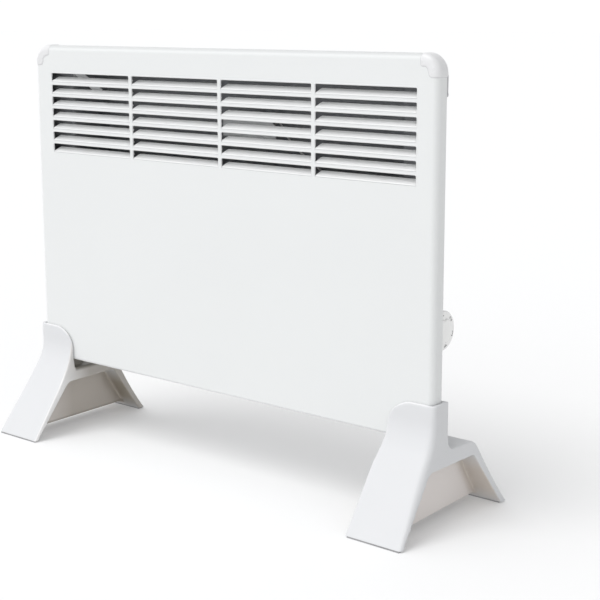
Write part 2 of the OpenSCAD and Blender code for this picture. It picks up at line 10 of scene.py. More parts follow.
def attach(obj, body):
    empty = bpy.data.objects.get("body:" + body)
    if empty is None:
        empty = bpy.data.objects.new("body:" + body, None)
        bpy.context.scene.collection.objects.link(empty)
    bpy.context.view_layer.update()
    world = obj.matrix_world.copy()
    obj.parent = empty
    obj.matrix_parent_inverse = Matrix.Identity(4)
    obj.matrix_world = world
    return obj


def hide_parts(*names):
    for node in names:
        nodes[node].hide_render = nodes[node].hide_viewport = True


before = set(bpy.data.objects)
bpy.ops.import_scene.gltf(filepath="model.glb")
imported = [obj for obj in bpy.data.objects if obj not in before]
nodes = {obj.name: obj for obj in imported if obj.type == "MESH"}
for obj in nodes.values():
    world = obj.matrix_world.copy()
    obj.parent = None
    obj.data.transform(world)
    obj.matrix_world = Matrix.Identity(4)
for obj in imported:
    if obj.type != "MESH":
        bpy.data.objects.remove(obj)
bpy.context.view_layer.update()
scene = bpy.context.scene
MM = 0.001

# the same driving sizes as the construction, in millimetres
HW, Z0, Z1, FY, BY, SHEET = 292.5, 90.0, 479.0, -22.5, -5.2, 1.0
ROWS, SLOT_TOP, PITCH, SLOT_H, MULLION, LEAN = 7, 33.4, 14.25, 10.3, 5.0, 25.5
COL_W = [133.0, 133.0, 125.3, 125.3]
COL_X = [-263.6]
for w in COL_W[:3]:
    COL_X.append(COL_X[-1] + w + MULLION)
DIAL_Y, DIAL_Z, DIAL_X = 30.0, 193.9, 258.2

# ------------------------------------------------------------------ camera, stage, light

cam_data = bpy.data.cameras.new("camera")
cam = bpy.data.objects.new("camera", cam_data)
scene.collection.objects.link(cam)
cam_data.sensor_width = 36.0
cam_data.lens = 78.657
cam_data.shift_x, cam_data.shift_y = 0.0, -0.08333
cam_data.clip_start, cam_data.clip_end = 0.05, 60.0
cam.matrix_world = Matrix((
    (0.7818165, -0.1098600, 0.6137538, 0.975572),
    (0.6235061, 0.1405318, -0.7690845, -1.090982),
    (-0.0017603, 0.9839622, 0.1783685, 0.517750),
    (0.0, 0.0, 0.0, 1.0),
))
scene.camera = cam

scene.view_settings.view_transform = "Standard"
scene.view_settings.look = "None"
scene.view_settings.exposure = 0.0
scene.view_settings.gamma = 1.0


def add_sun(name, energy, angle, direction, place):
    data = bpy.data.lights.new(name, "SUN")
    data.energy = energy
    data.angle = math.radians(angle)
    o = bpy.data.objects.new(name, data)
    scene.collection.objects.link(o)
    o.rotation_euler = Vector(direction).to_track_quat("-Z", "Y").to_euler()
    o.location = place


# soft key from the front, a little to the left and high
add_sun("key", 1.22, 38.0, (0.20, 0.42, -0.88), (-0.6, -1.3, 2.6))

world = bpy.data.worlds.new("studio")
scene.world = world
world.use_nodes = True
wt = world.node_tree
wl = wt.links
wc = wt.nodes.new("ShaderNodeTexCoord")
ws = wt.nodes.new("ShaderNodeSeparateXYZ")
wl.new(wc.outputs["Generated"], ws.inputs["Vector"])


def wmath(op, a, b=None, c=None):
    n = wt.nodes.new("ShaderNodeMath")
    n.operation = op
    for i, v in enumerate((a, b, c)):
        if v is None:
            continue
        if isinstance(v, (int, float)):
            n.inputs[i].default_value = v
        else:
            wl.new(v, n.inputs[i])
    return n.outputs[0]


# brighter in front and to the left, dimmer overhead and behind, white close to the horizon
rising = wmath("MULTIPLY_ADD", ws.outputs["Z"], -0.68, 1.351)
side = wmath("MULTIPLY_ADD", ws.outputs["X"], -0.346, rising)
both = wmath("MULTIPLY_ADD", ws.outputs["Y"], -0.398, side)
rise = wt.nodes.new("ShaderNodeMapRange")
rise.inputs["From Min"].default_value = 0.045
rise.inputs["From Max"].default_value = 0.11
wl.new(ws.outputs["Z"], rise.inputs["Value"])
mixw = wt.nodes.new("ShaderNodeMix")
mixw.data_type = "FLOAT"
mixw.inputs[2].default_value = 1.05
wl.new(rise.outputs["Result"], mixw.inputs[0])
wl.new(both, mixw.inputs[3])
wl.new(mixw.outputs[0], wt.nodes["Background"].inputs["Strength"])
wt.nodes["Background"].inputs["Color"].default_value = (0.985, 0.99, 1.0, 1.0)

# ------------------------------------------------------------------ materials


def principled(name, colour, rough=0.5, metal=0.0, spec=0.5, coat=0.0, coat_rough=0.2):
    m = bpy.data.materials.new(name)
    m.use_nodes = True
    b = m.node_tree.nodes["Principled BSDF"]
    b.inputs["Base Color"].default_value = (*colour, 1.0)
    b.inputs["Roughness"].default_value = rough
    b.inputs["Metallic"].default_value = metal
    b.inputs["Specular IOR Level"].default_value = spec
    b.inputs["Coat Weight"].default_value = coat
    b.inputs["Coat Roughness"].default_value = coat_rough
    return m, b


def surface(name, colour, rough=0.5, metal=0.0, spec=0.5, coat=0.0, coat_rough=0.2,
            tone=0.03, tone_scale=30.0, rough_var=0.06, rough_scale=60.0,
            grain=0.15, grain_scale=900.0, grain_depth=0.00004, wave=0.0, wave_scale=12.0, stretch=None):
    """Base colour broken up by a soft cloud, roughness by a finer one, and a bump of fine grain over a slow wave."""
    m, b = principled(name, colour, rough, metal, spec, coat, coat_rough)
    t = m.node_tree
    n, l = t.nodes, t.links
    tc = n.new("ShaderNodeTexCoord")
    mp = n.new("ShaderNodeMapping")
    if stretch:
        mp.inputs["Scale"].default_value = stretch
    l.new(tc.outputs["Object"], mp.inputs["Vector"])
    cloud = n.new("ShaderNodeTexNoise")
    cloud.inputs["Scale"].default_value = tone_scale
    cloud.inputs["Detail"].default_value = 3.0
    l.new(mp.outputs["Vector"], cloud.inputs["Vector"])
    ramp = n.new("ShaderNodeMapRange")
    ramp.inputs["From Min"].default_value = 0.3
    ramp.inputs["From Max"].default_value = 0.7
    ramp.inputs["To Min"].default_value = 1.0 - tone
    ramp.inputs["To Max"].default_value = 1.0
    l.new(cloud.outputs["Fac"], ramp.inputs["Value"])
    mix = n.new("ShaderNodeMix")
    mix.data_type = "RGBA"
    mix.blend_type = "MULTIPLY"
    mix.inputs["Factor"].default_value = 1.0
    mix.inputs[6].default_value = (*colour, 1.0)
    l.new(ramp.outputs["Result"], mix.inputs[7])
    l.new(mix.outputs[2], b.inputs["Base Color"])
    fine = n.new("ShaderNodeTexNoise")
    fine.inputs["Scale"].default_value = rough_scale
    fine.inputs["Detail"].default_value = 4.0
    l.new(mp.outputs["Vector"], fine.inputs["Vector"])
    rr = n.new("ShaderNodeMapRange")
    rr.inputs["From Min"].default_value = 0.3
    rr.inputs["From Max"].default_value = 0.7
    rr.inputs["To Min"].default_value = max(0.02, rough - rough_var)
    rr.inputs["To Max"].default_value = min(1.0, rough + rough_var)
    l.new(fine.outputs["Fac"], rr.inputs["Value"])
    l.new(rr.outputs["Result"], b.inputs["Roughness"])
    g = n.new("ShaderNodeTexNoise")
    g.inputs["Scale"].default_value = grain_scale
    g.inputs["Detail"].default_value = 2.0
    l.new(mp.outputs["Vector"], g.inputs["Vector"])
    bump = n.new("ShaderNodeBump")
    bump.inputs["Strength"].default_value = grain
    bump.inputs["Distance"].default_value = grain_depth
    l.new(g.outputs["Fac"], bump.inputs["Height"])
    if wave:
        w = n.new("ShaderNodeTexNoise")
        w.inputs["Scale"].default_value = wave_scale
        w.inputs["Detail"].default_value = 1.0
        l.new(tc.outputs["Object"], w.inputs["Vector"])
        slow = n.new("ShaderNodeBump")
        slow.inputs["Strength"].default_value = 1.0
        slow.inputs["Distance"].default_value = wave
        l.new(w.outputs["Fac"], slow.inputs["Height"])
        l.new(slow.outputs["Normal"], bump.inputs["Normal"])
    l.new(bump.outputs["Normal"], b.inputs["Normal"])
    return m


M = {
    "panel": surface("powder_coat_white", (0.652, 0.662, 0.660), 0.38, spec=0.5, tone=0.012, tone_scale=6.0, grain=0.25,
                     grain_scale=1100.0, grain_depth=0.00003, wave=0.00006, wave_scale=7.0),
    # the fins' coat is a lighter copy of the panel's powder coat: painted light where the slots shade the fins
    "fin": surface("powder_coat_fins_painted_light", (0.84, 0.845, 0.842), 0.38, tone=0.012, tone_scale=6.0, grain=0.25, grain_scale=1100.0,
                   grain_depth=0.00003),
    "casing": surface("casing_white", (0.66, 0.665, 0.665), 0.45, tone=0.02, tone_scale=9.0, grain=0.25, grain_scale=1000.0),
    # the casing's inside: a dark grey that is painted shade, standing for the shade inside the box
    "dark_inside": surface("casing_inside_painted_shade", (0.24, 0.247, 0.258), 0.6, tone=0.15, tone_scale=40.0, grain=0.1),
    "cap": surface("cap_plastic", (0.695, 0.695, 0.70), 0.30, spec=0.5, tone=0.012, tone_scale=20.0, grain=0.12, grain_scale=1400.0),
    "foot": surface("foot_plastic", (0.59, 0.595, 0.605), 0.48, spec=0.45, tone=0.015, tone_scale=15.0, grain=0.35,
                    grain_scale=1600.0, grain_depth=0.00004),
    # the lip's darker grey is painted shade of the seam line between cap and panel
    "seam": surface("cap_lip_painted_shade", (0.54, 0.54, 0.55), 0.5, tone=0.05, tone_scale=60.0, grain=0.1),
    # the tab's greyer tone is painted shade behind the panel's rim
    "tab": surface("cap_tab_painted_shade", (0.58, 0.58, 0.59), 0.45, tone=0.05, tone_scale=60.0, grain=0.1),
    "rubber": surface("rubber", (0.34, 0.34, 0.345), 0.75, spec=0.3, tone=0.2, grain=0.4, grain_scale=1200.0),
    "zinc": surface("zinc_plate", (0.66, 0.665, 0.67), 0.32, metal=1.0, tone=0.12, tone_scale=150.0, grain=0.2),
    "aluminium": surface("extruded_aluminium", (0.72, 0.73, 0.74), 0.42, metal=1.0, tone=0.1, tone_scale=40.0, grain=0.4,
                         grain_scale=700.0, stretch=(0.05, 1.0, 1.0)),
    "rod": surface("tinted_sheath", (0.36, 0.33, 0.30), 0.45, metal=1.0, tone=0.35, tone_scale=25.0, grain=0.3),
    "brass": surface("plated_brass", (0.80, 0.66, 0.34), 0.30, metal=1.0, tone=0.12, tone_scale=120.0, grain=0.2),
    "galvanised": surface("galvanised_sheet", (0.60, 0.61, 0.62), 0.46, metal=0.9, tone=0.22, tone_scale=90.0, rough_var=0.12,
                          rough_scale=140.0, grain=0.2),
    "strap": surface("coated_strap", (0.56, 0.565, 0.57), 0.50, tone=0.05, tone_scale=60.0, grain=0.2),
    "ceramic": surface("glazed_ceramic", (0.80, 0.77, 0.69), 0.22, tone=0.05, tone_scale=80.0, grain=0.1),
    "phenolic": surface("phenolic", (0.035, 0.034, 0.034), 0.40, tone=0.15, tone_scale=90.0, grain=0.3),
    "steel": surface("turned_steel", (0.62, 0.62, 0.63), 0.28, metal=1.0, tone=0.08, tone_scale=80.0, grain=0.4,
                     grain_scale=900.0, stretch=(4.0, 0.3, 0.3)),
    "knob": surface("knob_plastic", (0.82, 0.82, 0.81), 0.18, spec=0.5, coat=0.25, coat_rough=0.08, tone=0.01, tone_scale=30.0,
                    grain=0.05, grain_scale=900.0),
    "print": surface("dark_print", (0.05, 0.05, 0.055), 0.45, tone=0.15, tone_scale=300.0, grain=0.1),
    "housing": surface("housing_plastic", (0.80, 0.80, 0.81), 0.42, tone=0.02, tone_scale=25.0, grain=0.3, grain_scale=1500.0),
    "copper": surface("bare_copper", (0.72, 0.40, 0.26), 0.34, metal=1.0, tone=0.25, tone_scale=120.0, grain=0.2),
    "nylon": surface("natural_nylon", (0.72, 0.71, 0.67), 0.40, tone=0.04, tone_scale=70.0, grain=0.2),
    "gland": surface("grey_nylon", (0.055, 0.055, 0.06), 0.42, tone=0.12, tone_scale=90.0, grain=0.4, grain_scale=1300.0),
    "wire_grey": surface("sleeving_grey", (0.62, 0.61, 0.60), 0.5, tone=0.08, tone_scale=200.0, grain=0.4, grain_scale=1800.0),
    "wire_blue": surface("sleeving_blue", (0.05, 0.14, 0.45), 0.45, tone=0.1, tone_scale=200.0, grain=0.3, grain_scale=1800.0),
    "wire_green": surface("sleeving_green", (0.10, 0.36, 0.05), 0.45, tone=0.1, tone_scale=200.0, grain=0.3, grain_scale=1800.0),
}



def shade_along(m, axis, stops, absolute=False):
    """Multiplies the base colour by a factor that follows one object coordinate (metres) through the given stops."""
    n, l = m.node_tree.nodes, m.node_tree.links
    tc = n.new("ShaderNodeTexCoord")
    xyz = n.new("ShaderNodeSeparateXYZ")
    l.new(tc.outputs["Object"], xyz.inputs["Vector"])
    value = xyz.outputs[axis]
    if absolute:
        q = n.new("ShaderNodeMath")
        q.operation = "ABSOLUTE"
        l.new(value, q.inputs[0])
        value = q.outputs[0]
    lo, hi = stops[0], stops[1]
    mr = n.new("ShaderNodeMapRange")
    for key, v in zip(("From Min", "From Max", "To Min", "To Max"), (lo[0], hi[0], lo[1], hi[1])):
        mr.inputs[key].default_value = v
    l.new(value, mr.inputs["Value"])
    b = n["Principled BSDF"]
    src = b.inputs["Base Color"].links[0].from_socket
    mix = n.new("ShaderNodeMix")
    mix.data_type = "RGBA"
    mix.blend_type = "MULTIPLY"
    mix.inputs["Factor"].default_value = 1.0
    l.new(src, mix.inputs[6])
    l.new(mr.outputs["Result"], mix.inputs[7])
    l.new(mix.outputs[2], b.inputs["Base Color"])


# painted light on the fins so their coat reads even from the fold to the back edge; the caps a touch deeper, with
# painted shade towards the left end; painted shade on the rim over the panel's top, and on the casing's flange so it is
# no lighter than the space behind it
# painted light and shade on the fins: darker at the fold, lighter towards the back edge where the slot shades them
shade_along(M["fin"], "Y", [(-0.0222, 0.82), (-0.0165, 1.16)])
# painted shade: the caps darker towards the left end
shade_along(M["cap"], "X", [(-0.290, 0.88), (-0.262, 0.93)])
# painted shade: the panel's top rim darker than its front
shade_along(M["panel"], "Z", [(0.4752, 1.0), (0.4768, 0.86)])
# painted shade: the casing's inside colour darker on the flange, beyond 0.246 m out from the middle
shade_along(M["dark_inside"], "X", [(0.238, 1.0), (0.246, 0.75)], absolute=True)


def paint_arch_shade_and_bounce(m):
    """Paints shade and warm bounce light into the plastic inside the arch, darker in the bay next to the panel's
    middle, and painted light and shade on the faces round it.
    """
    t = m.node_tree
    n, l = t.nodes, t.links

    def val(op, a, b=None, c=None, clamp=False):
        q = n.new("ShaderNodeMath")
        q.operation = op
        q.use_clamp = clamp
        for i, v in enumerate((a, b, c)):
            if v is None:
                continue
            if isinstance(v, (int, float)):
                q.inputs[i].default_value = v
            else:
                l.new(v, q.inputs[i])
        return q.outputs[0]

    tc = n.new("ShaderNodeTexCoord")
    xyz = n.new("ShaderNodeSeparateXYZ")
    l.new(tc.outputs["Object"], xyz.inputs["Vector"])
    x = val("ABSOLUTE", xyz.outputs["X"])
    y, z = xyz.outputs["Y"], xyz.outputs["Z"]
    # distances inside the arch's three edges, in metres
    front = val("MULTIPLY", val("SUBTRACT", y, val("MULTIPLY_ADD", z, 0.83, -0.0892)), 0.77)
    back = val("MULTIPLY", val("SUBTRACT", val("MULTIPLY_ADD", z, -0.68, 0.0853), y), 0.83)
    top = val("SUBTRACT", 0.0643, z)
    near = val("SMOOTH_MIN", val("SMOOTH_MIN", front, top, 0.009), back, 0.006)
    mask = val("MULTIPLY_ADD", near, 900.0, 0.25, clamp=True)
    bay = val("MULTIPLY_ADD", x, -80.0, 80.0 * 0.266, clamp=True)
    leg = val("MULTIPLY_ADD", back, -90.0, 1.25, clamp=True)
    run = val("MULTIPLY_ADD", y, 22.0, 1.25, clamp=True)

    def mix(f, a, b):
        q = n.new("ShaderNodeMix")
        q.data_type = "RGBA"
        l.new(f, q.inputs[0])
        for i, v in ((6, a), (7, b)):
            if isinstance(v, tuple):
                q.inputs[i].default_value = (*v, 1.0)
            else:
                l.new(v, q.inputs[i])
        return q.outputs[2]

    # painted shade and warm bounce light inside the arch: deeper towards the rear leg, and deeper still in the bay next
    # to the panel's middle
    outer = mix(leg, (0.68, 0.64, 0.615), (0.57, 0.52, 0.47))
    inner = mix(run, (0.64, 0.60, 0.565), (0.30, 0.265, 0.215))
    inside = mix(bay, outer, inner)
    # painted shade along the inner bay's bottom edge
    under = val("MULTIPLY", val("MULTIPLY_ADD", z, -500.0, 500.0 * 0.0135, clamp=True), bay)
    inside = mix(under, inside, (0.25, 0.222, 0.185))
    old = next(k for k in n if k.type == "MIX" and k.blend_type == "MULTIPLY")
    plain = tuple(old.inputs[6].default_value)[:3]
    # painted light and shade on the left foot's face turned to the heater's middle: lighter by the front leg, deeper
    # and warmer towards the rear one
    edge = val("MULTIPLY", val("SUBTRACT", val("MULTIPLY_ADD", val("MULTIPLY_ADD", z, 27.8, -1.61, clamp=True), 0.0037, 0.2380), x),
               800.0, clamp=True)
    far = val("MULTIPLY_ADD", y, 22.0, 1.0, clamp=True)
    edge = val("MULTIPLY", edge, val("MULTIPLY", xyz.outputs["X"], -50.0, clamp=True))
    flank = mix(far, (0.74, 0.735, 0.73), (0.40, 0.375, 0.345))
    skin = mix(edge, plain, flank)
    # painted shade in the pocket behind the tongue, under the panel
    pocket = val("MULTIPLY", val("MULTIPLY_ADD", z, 300.0, -300.0 * 0.0745, clamp=True),
                 val("MULTIPLY", val("MULTIPLY_ADD", y, 400.0, 400.0 * 0.0235, clamp=True), val("MULTIPLY_ADD", x, -200.0, 200.0 * 0.266, clamp=True)))
    skin = mix(pocket, skin, (0.17, 0.157, 0.135))
    # painted light on the tongue's thin rim against the panel
    rim = val("MULTIPLY", val("MULTIPLY_ADD", y, 1500.0, 1500.0 * 0.0253, clamp=True),
              val("MULTIPLY", val("MULTIPLY_ADD", z, 300.0, -300.0 * 0.092, clamp=True),
                  val("MULTIPLY", val("MULTIPLY_ADD", y, -2000.0, -2000.0 * 0.0215, clamp=True), val("MULTIPLY_ADD", x, -300.0, 300.0 * 0.289, clamp=True))))
    skin = mix(rim, skin, (0.69, 0.69, 0.695))
    both = mix(mask, skin, inside)
    l.new(both, old.inputs[6])
    return m


# painted shade and warm bounce light inside the feet's arches, with painted light on the tongues' rims
paint_arch_shade_and_bounce(M["foot"])

CAD_LOOKS = {
    "front_panel": "panel", "rear_casing": "casing", "corner_cap_left": "cap", "corner_cap_right": "cap",
    "foot_left": "foot", "foot_right": "foot", "foot_screws": "zinc", "foot_pads": "rubber", "casing_screws": "zinc",
    "heating_profile": "aluminium", "heating_rod": "rod", "element_terminals": "brass",
    "element_bracket_left": "galvanised", "element_bracket_right": "galvanised", "ceramic_bushings": "ceramic",
    "bracket_rivets": "zinc", "heat_shield": "galvanised", "corner_stay": "strap", "cutout_bracket": "strap",
    "overheat_cutout": "phenolic", "thermostat_body": "phenolic", "thermostat_spindle": "steel",
    "thermostat_knob": "knob", "dial_housing": "housing", "housing_screws": "zinc", "sensor_bulb": "copper",
    "capillary_tube": "copper", "terminal_block": "nylon", "cable_gland": "gland", "gland_nut": "gland",
    "earth_screw": "brass", "live_wire": "wire_grey", "switched_wire": "wire_grey", "element_wire": "wire_grey",
    "neutral_wire": "wire_blue", "earth_wire": "wire_green",
}
for name, o in nodes.items():
    mat = M[CAD_LOOKS[name]]
    if not o.material_slots:
        o.data.materials.append(mat)
    for s in o.material_slots:
        s.material = mat

# ------------------------------------------------------------------ mesh helpers


def finish_mesh(bm, name, mats, body, replaces=(), smooth=True):
    """Writes a bmesh held in millimetres to an object in metres that rides on a body."""
    me = bpy.data.meshes.new(name)
    bmesh.ops.scale(bm, vec=(MM, MM, MM), verts=bm.verts)
    bm.to_mesh(me)
    bm.free()
    for m in mats:
        me.materials.append(m)
    o = bpy.data.objects.new(name, me)
    scene.collection.objects.link(o)
    if smooth:
        me.shade_smooth()
    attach(o, body)
    if replaces:
        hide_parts(*replaces)
    return o


def ring_faces(bm, a, b, closed=True, mat=0):
    """Quads between two vertex rows of one length."""
    n = len(a)
    made = []
    for i in range(n if closed else n - 1):
        j = (i + 1) % n
        if len({a[i], a[j], b[j], b[i]}) == 4:
            f = bm.faces.new((a[i], a[j], b[j], b[i]))
            f.material_index = mat
            made.append(f)
    return made


def plane_fill(bm, loops, flat, up, mat=0):
    """Triangles over the flat area inside the first loop and outside the others. flat(v) gives plane coordinates, up the facing."""
    verts, edges, seen = [], [], {}
    for loop in loops:
        for i, v in enumerate(loop):
            w = loop[(i + 1) % len(loop)]
            for q in (v, w):
                if q not in seen:
                    seen[q] = len(verts)
                    verts.append(q)
            edges.append((seen[v], seen[w]))
    pts = [Vector(flat(v.co)) for v in verts]
    out = delaunay_2d_cdt(pts, edges, [], 0, 1e-5)
    orig = [o[0] for o in out[3]]
    p = np.array([pts[i] for i in range(len(pts))])
    e = np.array(edges)
    ax, ay, bx, by = p[e[:, 0], 0], p[e[:, 0], 1], p[e[:, 1], 0], p[e[:, 1], 1]
    made = []
    for tri in out[2]:
        q = [orig[i] for i in tri]
        c = p[q].mean(axis=0)
        cross = ((ay > c[1]) != (by > c[1]))
        with np.errstate(divide="ignore", invalid="ignore"):
            xs = ax + (c[1] - ay) * (bx - ax) / (by - ay)
        if np.count_nonzero(cross & (xs > c[0])) % 2 == 0:
            continue
        f = bm.faces.new([verts[i] for i in q])
        f.normal_update()
        if f.normal.dot(Vector(up)) < 0:
            f.normal_flip()
        f.material_index = mat
        made.append(f)
    return made


class Sheet:
    """An open skin of vertices that each know where the other side of the sheet lies."""

    def __init__(self):
        self.bm = bmesh.new()
        self.inner = {}

    def v(self, p, q):
        n = self.bm.verts.new(p)
        self.inner[n] = Vector(q)
        return n

    def thicken(self, back_mat=None, edge_mat=None):
        bm = self.bm
        faces = list(bm.faces)
        rim = []
        for e in bm.edges:
            if len(e.link_faces) == 1:
                l = e.link_loops[0]
                rim.append((l.vert, l.link_loop_next.vert, l.face.material_index))
        twin = {v: bm.verts.new(q) for v, q in self.inner.items()}
        for f in faces:
            n = bm.faces.new([twin[v] for v in reversed(f.verts)])
            n.material_index = f.material_index if back_mat is None else back_mat
        for a, b, m in rim:
            if len({b, a, twin[a], twin[b]}) == 4:
                n = bm.faces.new((b, a, twin[a], twin[b]))
                n.material_index = m if edge_mat is None else edge_mat
                for e in n.edges:
                    e.smooth = False
        loose = [v for v in bm.verts if not v.link_faces]
        bmesh.ops.delete(bm, geom=loose, context="VERTS")
        return bm


def rounded_rect(x0, x1, z0, z1, radii, seg=10):
    """Corner data of a rounded rectangle, anticlockwise from the lower left, for outlines at any inset."""
    data = []
    spots = [(x0, z0, 1, 1, 180.0), (x1, z0, -1, 1, 270.0), (x1, z1, -1, -1, 0.0), (x0, z1, 1, -1, 90.0)]
    for (cx, cz, sx, sz, a0), r in zip(spots, radii):
        for k in range(seg + 1):
            data.append((cx, cz, sx, sz, math.radians(a0 + 90.0 * k / seg), r, k / seg))
    return data


def inset_point(p, d, least=0.8):
    cx, cz, sx, sz, a, r, _ = p
    rr = max(r - d, least)
    return (cx + sx * (d + rr) + rr * math.cos(a), cz + sz * (d + rr) + rr * math.sin(a))


def tidy(o, angle=38.0, bevel=0.0, solid=0.0, segments=2):
    """Sheet thickness, eased edges and area-weighted normals."""
    if solid:
        s = o.modifiers.new("thickness", "SOLIDIFY")
        s.thickness = solid * MM
        s.offset = -1.0
        s.use_even_offset = True
    if bevel:
        b = o.modifiers.new("eased", "BEVEL")
        b.width = bevel * MM
        b.segments = segments
        b.limit_method = "ANGLE"
        b.angle_limit = math.radians(angle)
        b.harden_normals = False
    w = o.modifiers.new("normals", "WEIGHTED_NORMAL")
    w.keep_sharp = True
    w.weight = 60
    return o


# ------------------------------------------------------------------ front panel


def smooth01(t):
    t = min(max(t, 0.0), 1.0)
    return t * t * (3.0 - 2.0 * t)


def long_path(x0, x1, z0, z1, radii, seg, cuts):
    """Outline items (corner point, next corner point or None, share of the way) around a rounded rectangle."""
    path = rounded_rect(x0, x1, z0, z1, radii, seg)
    full = []
    for i, p in enumerate(path):
        full.append((p, None, 0.0))
        q = path[(i + 1) % len(path)]
        if (p[0], p[1]) != (q[0], q[1]):
            for k in range(1, cuts):
                full.append((p, q, k / cuts))
    return full


def on_path(item, d):
    p, q, t = item
    x, z = inset_point(p, d)
    if q is None:
        return x, z
    x2, z2 = inset_point(q, d)
    return x + (x2 - x) * t, z + (z2 - z) * t


def panel_front_r(item):
    """Front edge radius: 6.5 all round, easing to 3 along the underside."""
    p, q, t = item
    if q is not None:
        return 3.0 if p[1] == Z0 and q[1] == Z0 else 6.5
    if p[1] != Z0:
        return 6.5
    k = p[6] if p[0] < 0 else 1.0 - p[6]
    return 6.5 - 3.5 * smooth01(k)


def build_panel():
    s = Sheet()
    full = long_path(-HW, HW, Z0, Z1, (7.0, 7.0, 20.0, 20.0), 12, 8)
    rows = []
    t = SHEET
    for j in range(10):
        f = math.radians(90.0 * j / 9)
        row = []
        for it in full:
            r = panel_front_r(it)
            d, y = r * (1.0 - math.sin(f)), FY + r * (1.0 - math.cos(f))
            x, z = on_path(it, d)
            xi, zi = on_path(it, d + t * math.sin(f))
            row.append(s.v((x, y, z), (xi, y + t * math.cos(f), zi)))
        rows.append(row)
    back_r = 2.2
    for j in range(6):
        f = math.radians(90.0 * j / 5)
        d, y = back_r * (1.0 - math.cos(f)), BY - back_r + back_r * math.sin(f)
        row = []
        for it in full:
            x, z = on_path(it, d)
            xi, zi = on_path(it, d + t * math.cos(f))
            row.append(s.v((x, y, z), (xi, y - t * math.sin(f), zi)))
        rows.append(row)
    row = []
    for it in full:
        x, z = on_path(it, 10.0)
        row.append(s.v((x, BY, z), (x, BY - t, z)))
    rows.append(row)
    for a, b in zip(rows, rows[1:]):
        ring_faces(s.bm, b, a)

    offs = [0.0, 0.12, 0.35, 0.75, 1.2, 1.6, 1.85, 2.05, 2.2]
    high = [-0.42, -0.12, 0.08, 0.2, 0.22, 0.16, 0.02, -0.13, 0.0]
    rc, bend = 1.3, 2.0
    turn = math.radians(90.0 - LEAN)
    t_len = bend * math.tan(turn / 2)
    holes, crease = [], []
    for k in range(ROWS):
        for i in range(4):
            a, b = COL_X[i], COL_X[i] + COL_W[i]
            zt = Z1 - SLOT_TOP - k * PITCH
            zb = zt - SLOT_H
            zs = zb - 0.2
            loops = []
            for o, h in zip(offs, high):
                row = []

                def put(x, z, h=h):
                    y = FY - h * smooth01((z - zs - 0.3) / 4.5)
                    row.append(s.v((x, y, z), (x, y + t, z)))

                sx = o * 0.77
                for g in range(6):
                    put(a - sx, zs + (zt - rc - zs) * g / 6)
                for g in range(6):
                    f = math.radians(90.0 * g / 6)
                    put(a + rc - (rc + sx) * math.cos(f), zt - rc + (rc + o) * math.sin(f))
                for g in range(9):
                    put(a + rc + (b - a - 2 * rc) * g / 8, zt + o)
                for g in range(1, 7):
                    f = math.radians(90.0 - 90.0 * g / 6)
                    put(b - rc + (rc + sx) * math.cos(f), zt - rc + (rc + o) * math.sin(f))
                for g in range(1, 7):
                    put(b + sx, zt - rc + (zs - zt + rc) * g / 6)
                loops.append(row)
            for p, q in zip(loops, loops[1:]):
                ring_faces(s.bm, p, q, closed=False)
            outer = loops[-1]
            nx = 9
            fold = [s.v((a + 0.4 + (b - a - 0.8) * g / (nx - 1), FY, zs), (a + 0.4 + (b - a - 0.8) * g / (nx - 1), FY + t, zs))
                    for g in range(nx)]
            left_in = [l[0] for l in loops[:-1]]
            right_in = [l[-1] for l in reversed(loops[:-1])]
            holes.append(outer + right_in + list(reversed(fold)) + left_in)
            crease.append(outer)
            prev = fold
            run = SLOT_H - t_len + 0.6
            for kind, u in [("arc", g / 6) for g in range(1, 7)] + [("run", g / 5) for g in range(1, 6)]:
                if kind == "arc":
                    f = turn * u
                    y, z = FY + bend * (1 - math.cos(f)), zs + bend * math.sin(f)
                    inset = 0.4
                else:
                    f = turn
                    y = FY + bend * (1 - math.cos(turn)) + run * u * math.sin(turn)
                    z = zs + bend * math.sin(turn) + run * u * math.cos(turn)
                    inset = 0.4 + 1.1 * u + (1.0 if u == 1 else 0.0)
                row = []
                for g in range(nx):
                    x = a + inset + (b - a - 2 * inset) * g / (nx - 1)
                    row.append(s.v((x, y, z), (x, y + t * math.cos(f), z - t * math.sin(f))))
                # the fold's first part keeps the panel coat; the rest of the fin takes the lighter coat, which is
                # painted light
                ring_faces(s.bm, row, prev, closed=False, mat=0 if kind == "arc" and u < 0.6 else 1)
                prev = row
    plane_fill(s.bm, [rows[0]] + holes, lambda c: (c.x, c.z), (0, -1, 0))
    sharp = []
    for loop in crease:
        for v, w in zip(loop, loop[1:]):
            e = s.bm.edges.get((v, w))
            if e:
                sharp.append(e)
    for e in sharp:
        e.smooth = False
    s.thicken()
    o = finish_mesh(s.bm, "front_panel_sheet", [M["panel"], M["fin"]], "heater", ["front_panel"])
    tidy(o)
    return o


panel = build_panel()

# ------------------------------------------------------------------ rear casing

CW, CY0, CY1, CZ0, CZ1 = 243.0, -7.2, 52.5, 104.0, 465.0


def circle_loop(s, cx, cz, r, y, t, n=20, axis="y"):
    """A ring of sheet vertices about a hole in a wall square to the axis."""
    out = []
    for g in range(n):
        f = 2 * math.pi * g / n
        u, w = cx + r * math.cos(f), cz + r * math.sin(f)
        if axis == "y":
            out.append(s.v((u, y, w), (u, y + t, w)))
        elif axis == "z":
            out.append(s.v((u, w, y), (u, w, y + t)))
        else:
            out.append(s.v((y, u, w), (y + t, u, w)))
    return out


def slot_loop(s, cx, cz, w, h, y, t, r=1.2, n=4, axis="y"):
    out = []
    for sx, sz, a0 in ((1, 1, 0), (-1, 1, 90), (-1, -1, 180), (1, -1, 270)):
        for g in range(n + 1):
            f = math.radians(a0 + 90.0 * g / n)
            u = cx + sx * (w / 2 - r) + r * math.cos(f)
            v = cz + sz * (h / 2 - r) + r * math.sin(f)
            out.append(s.v((u, y, v), (u, y + t, v)) if axis == "y" else s.v((u, v, y), (u, v, y + t)))
    return out


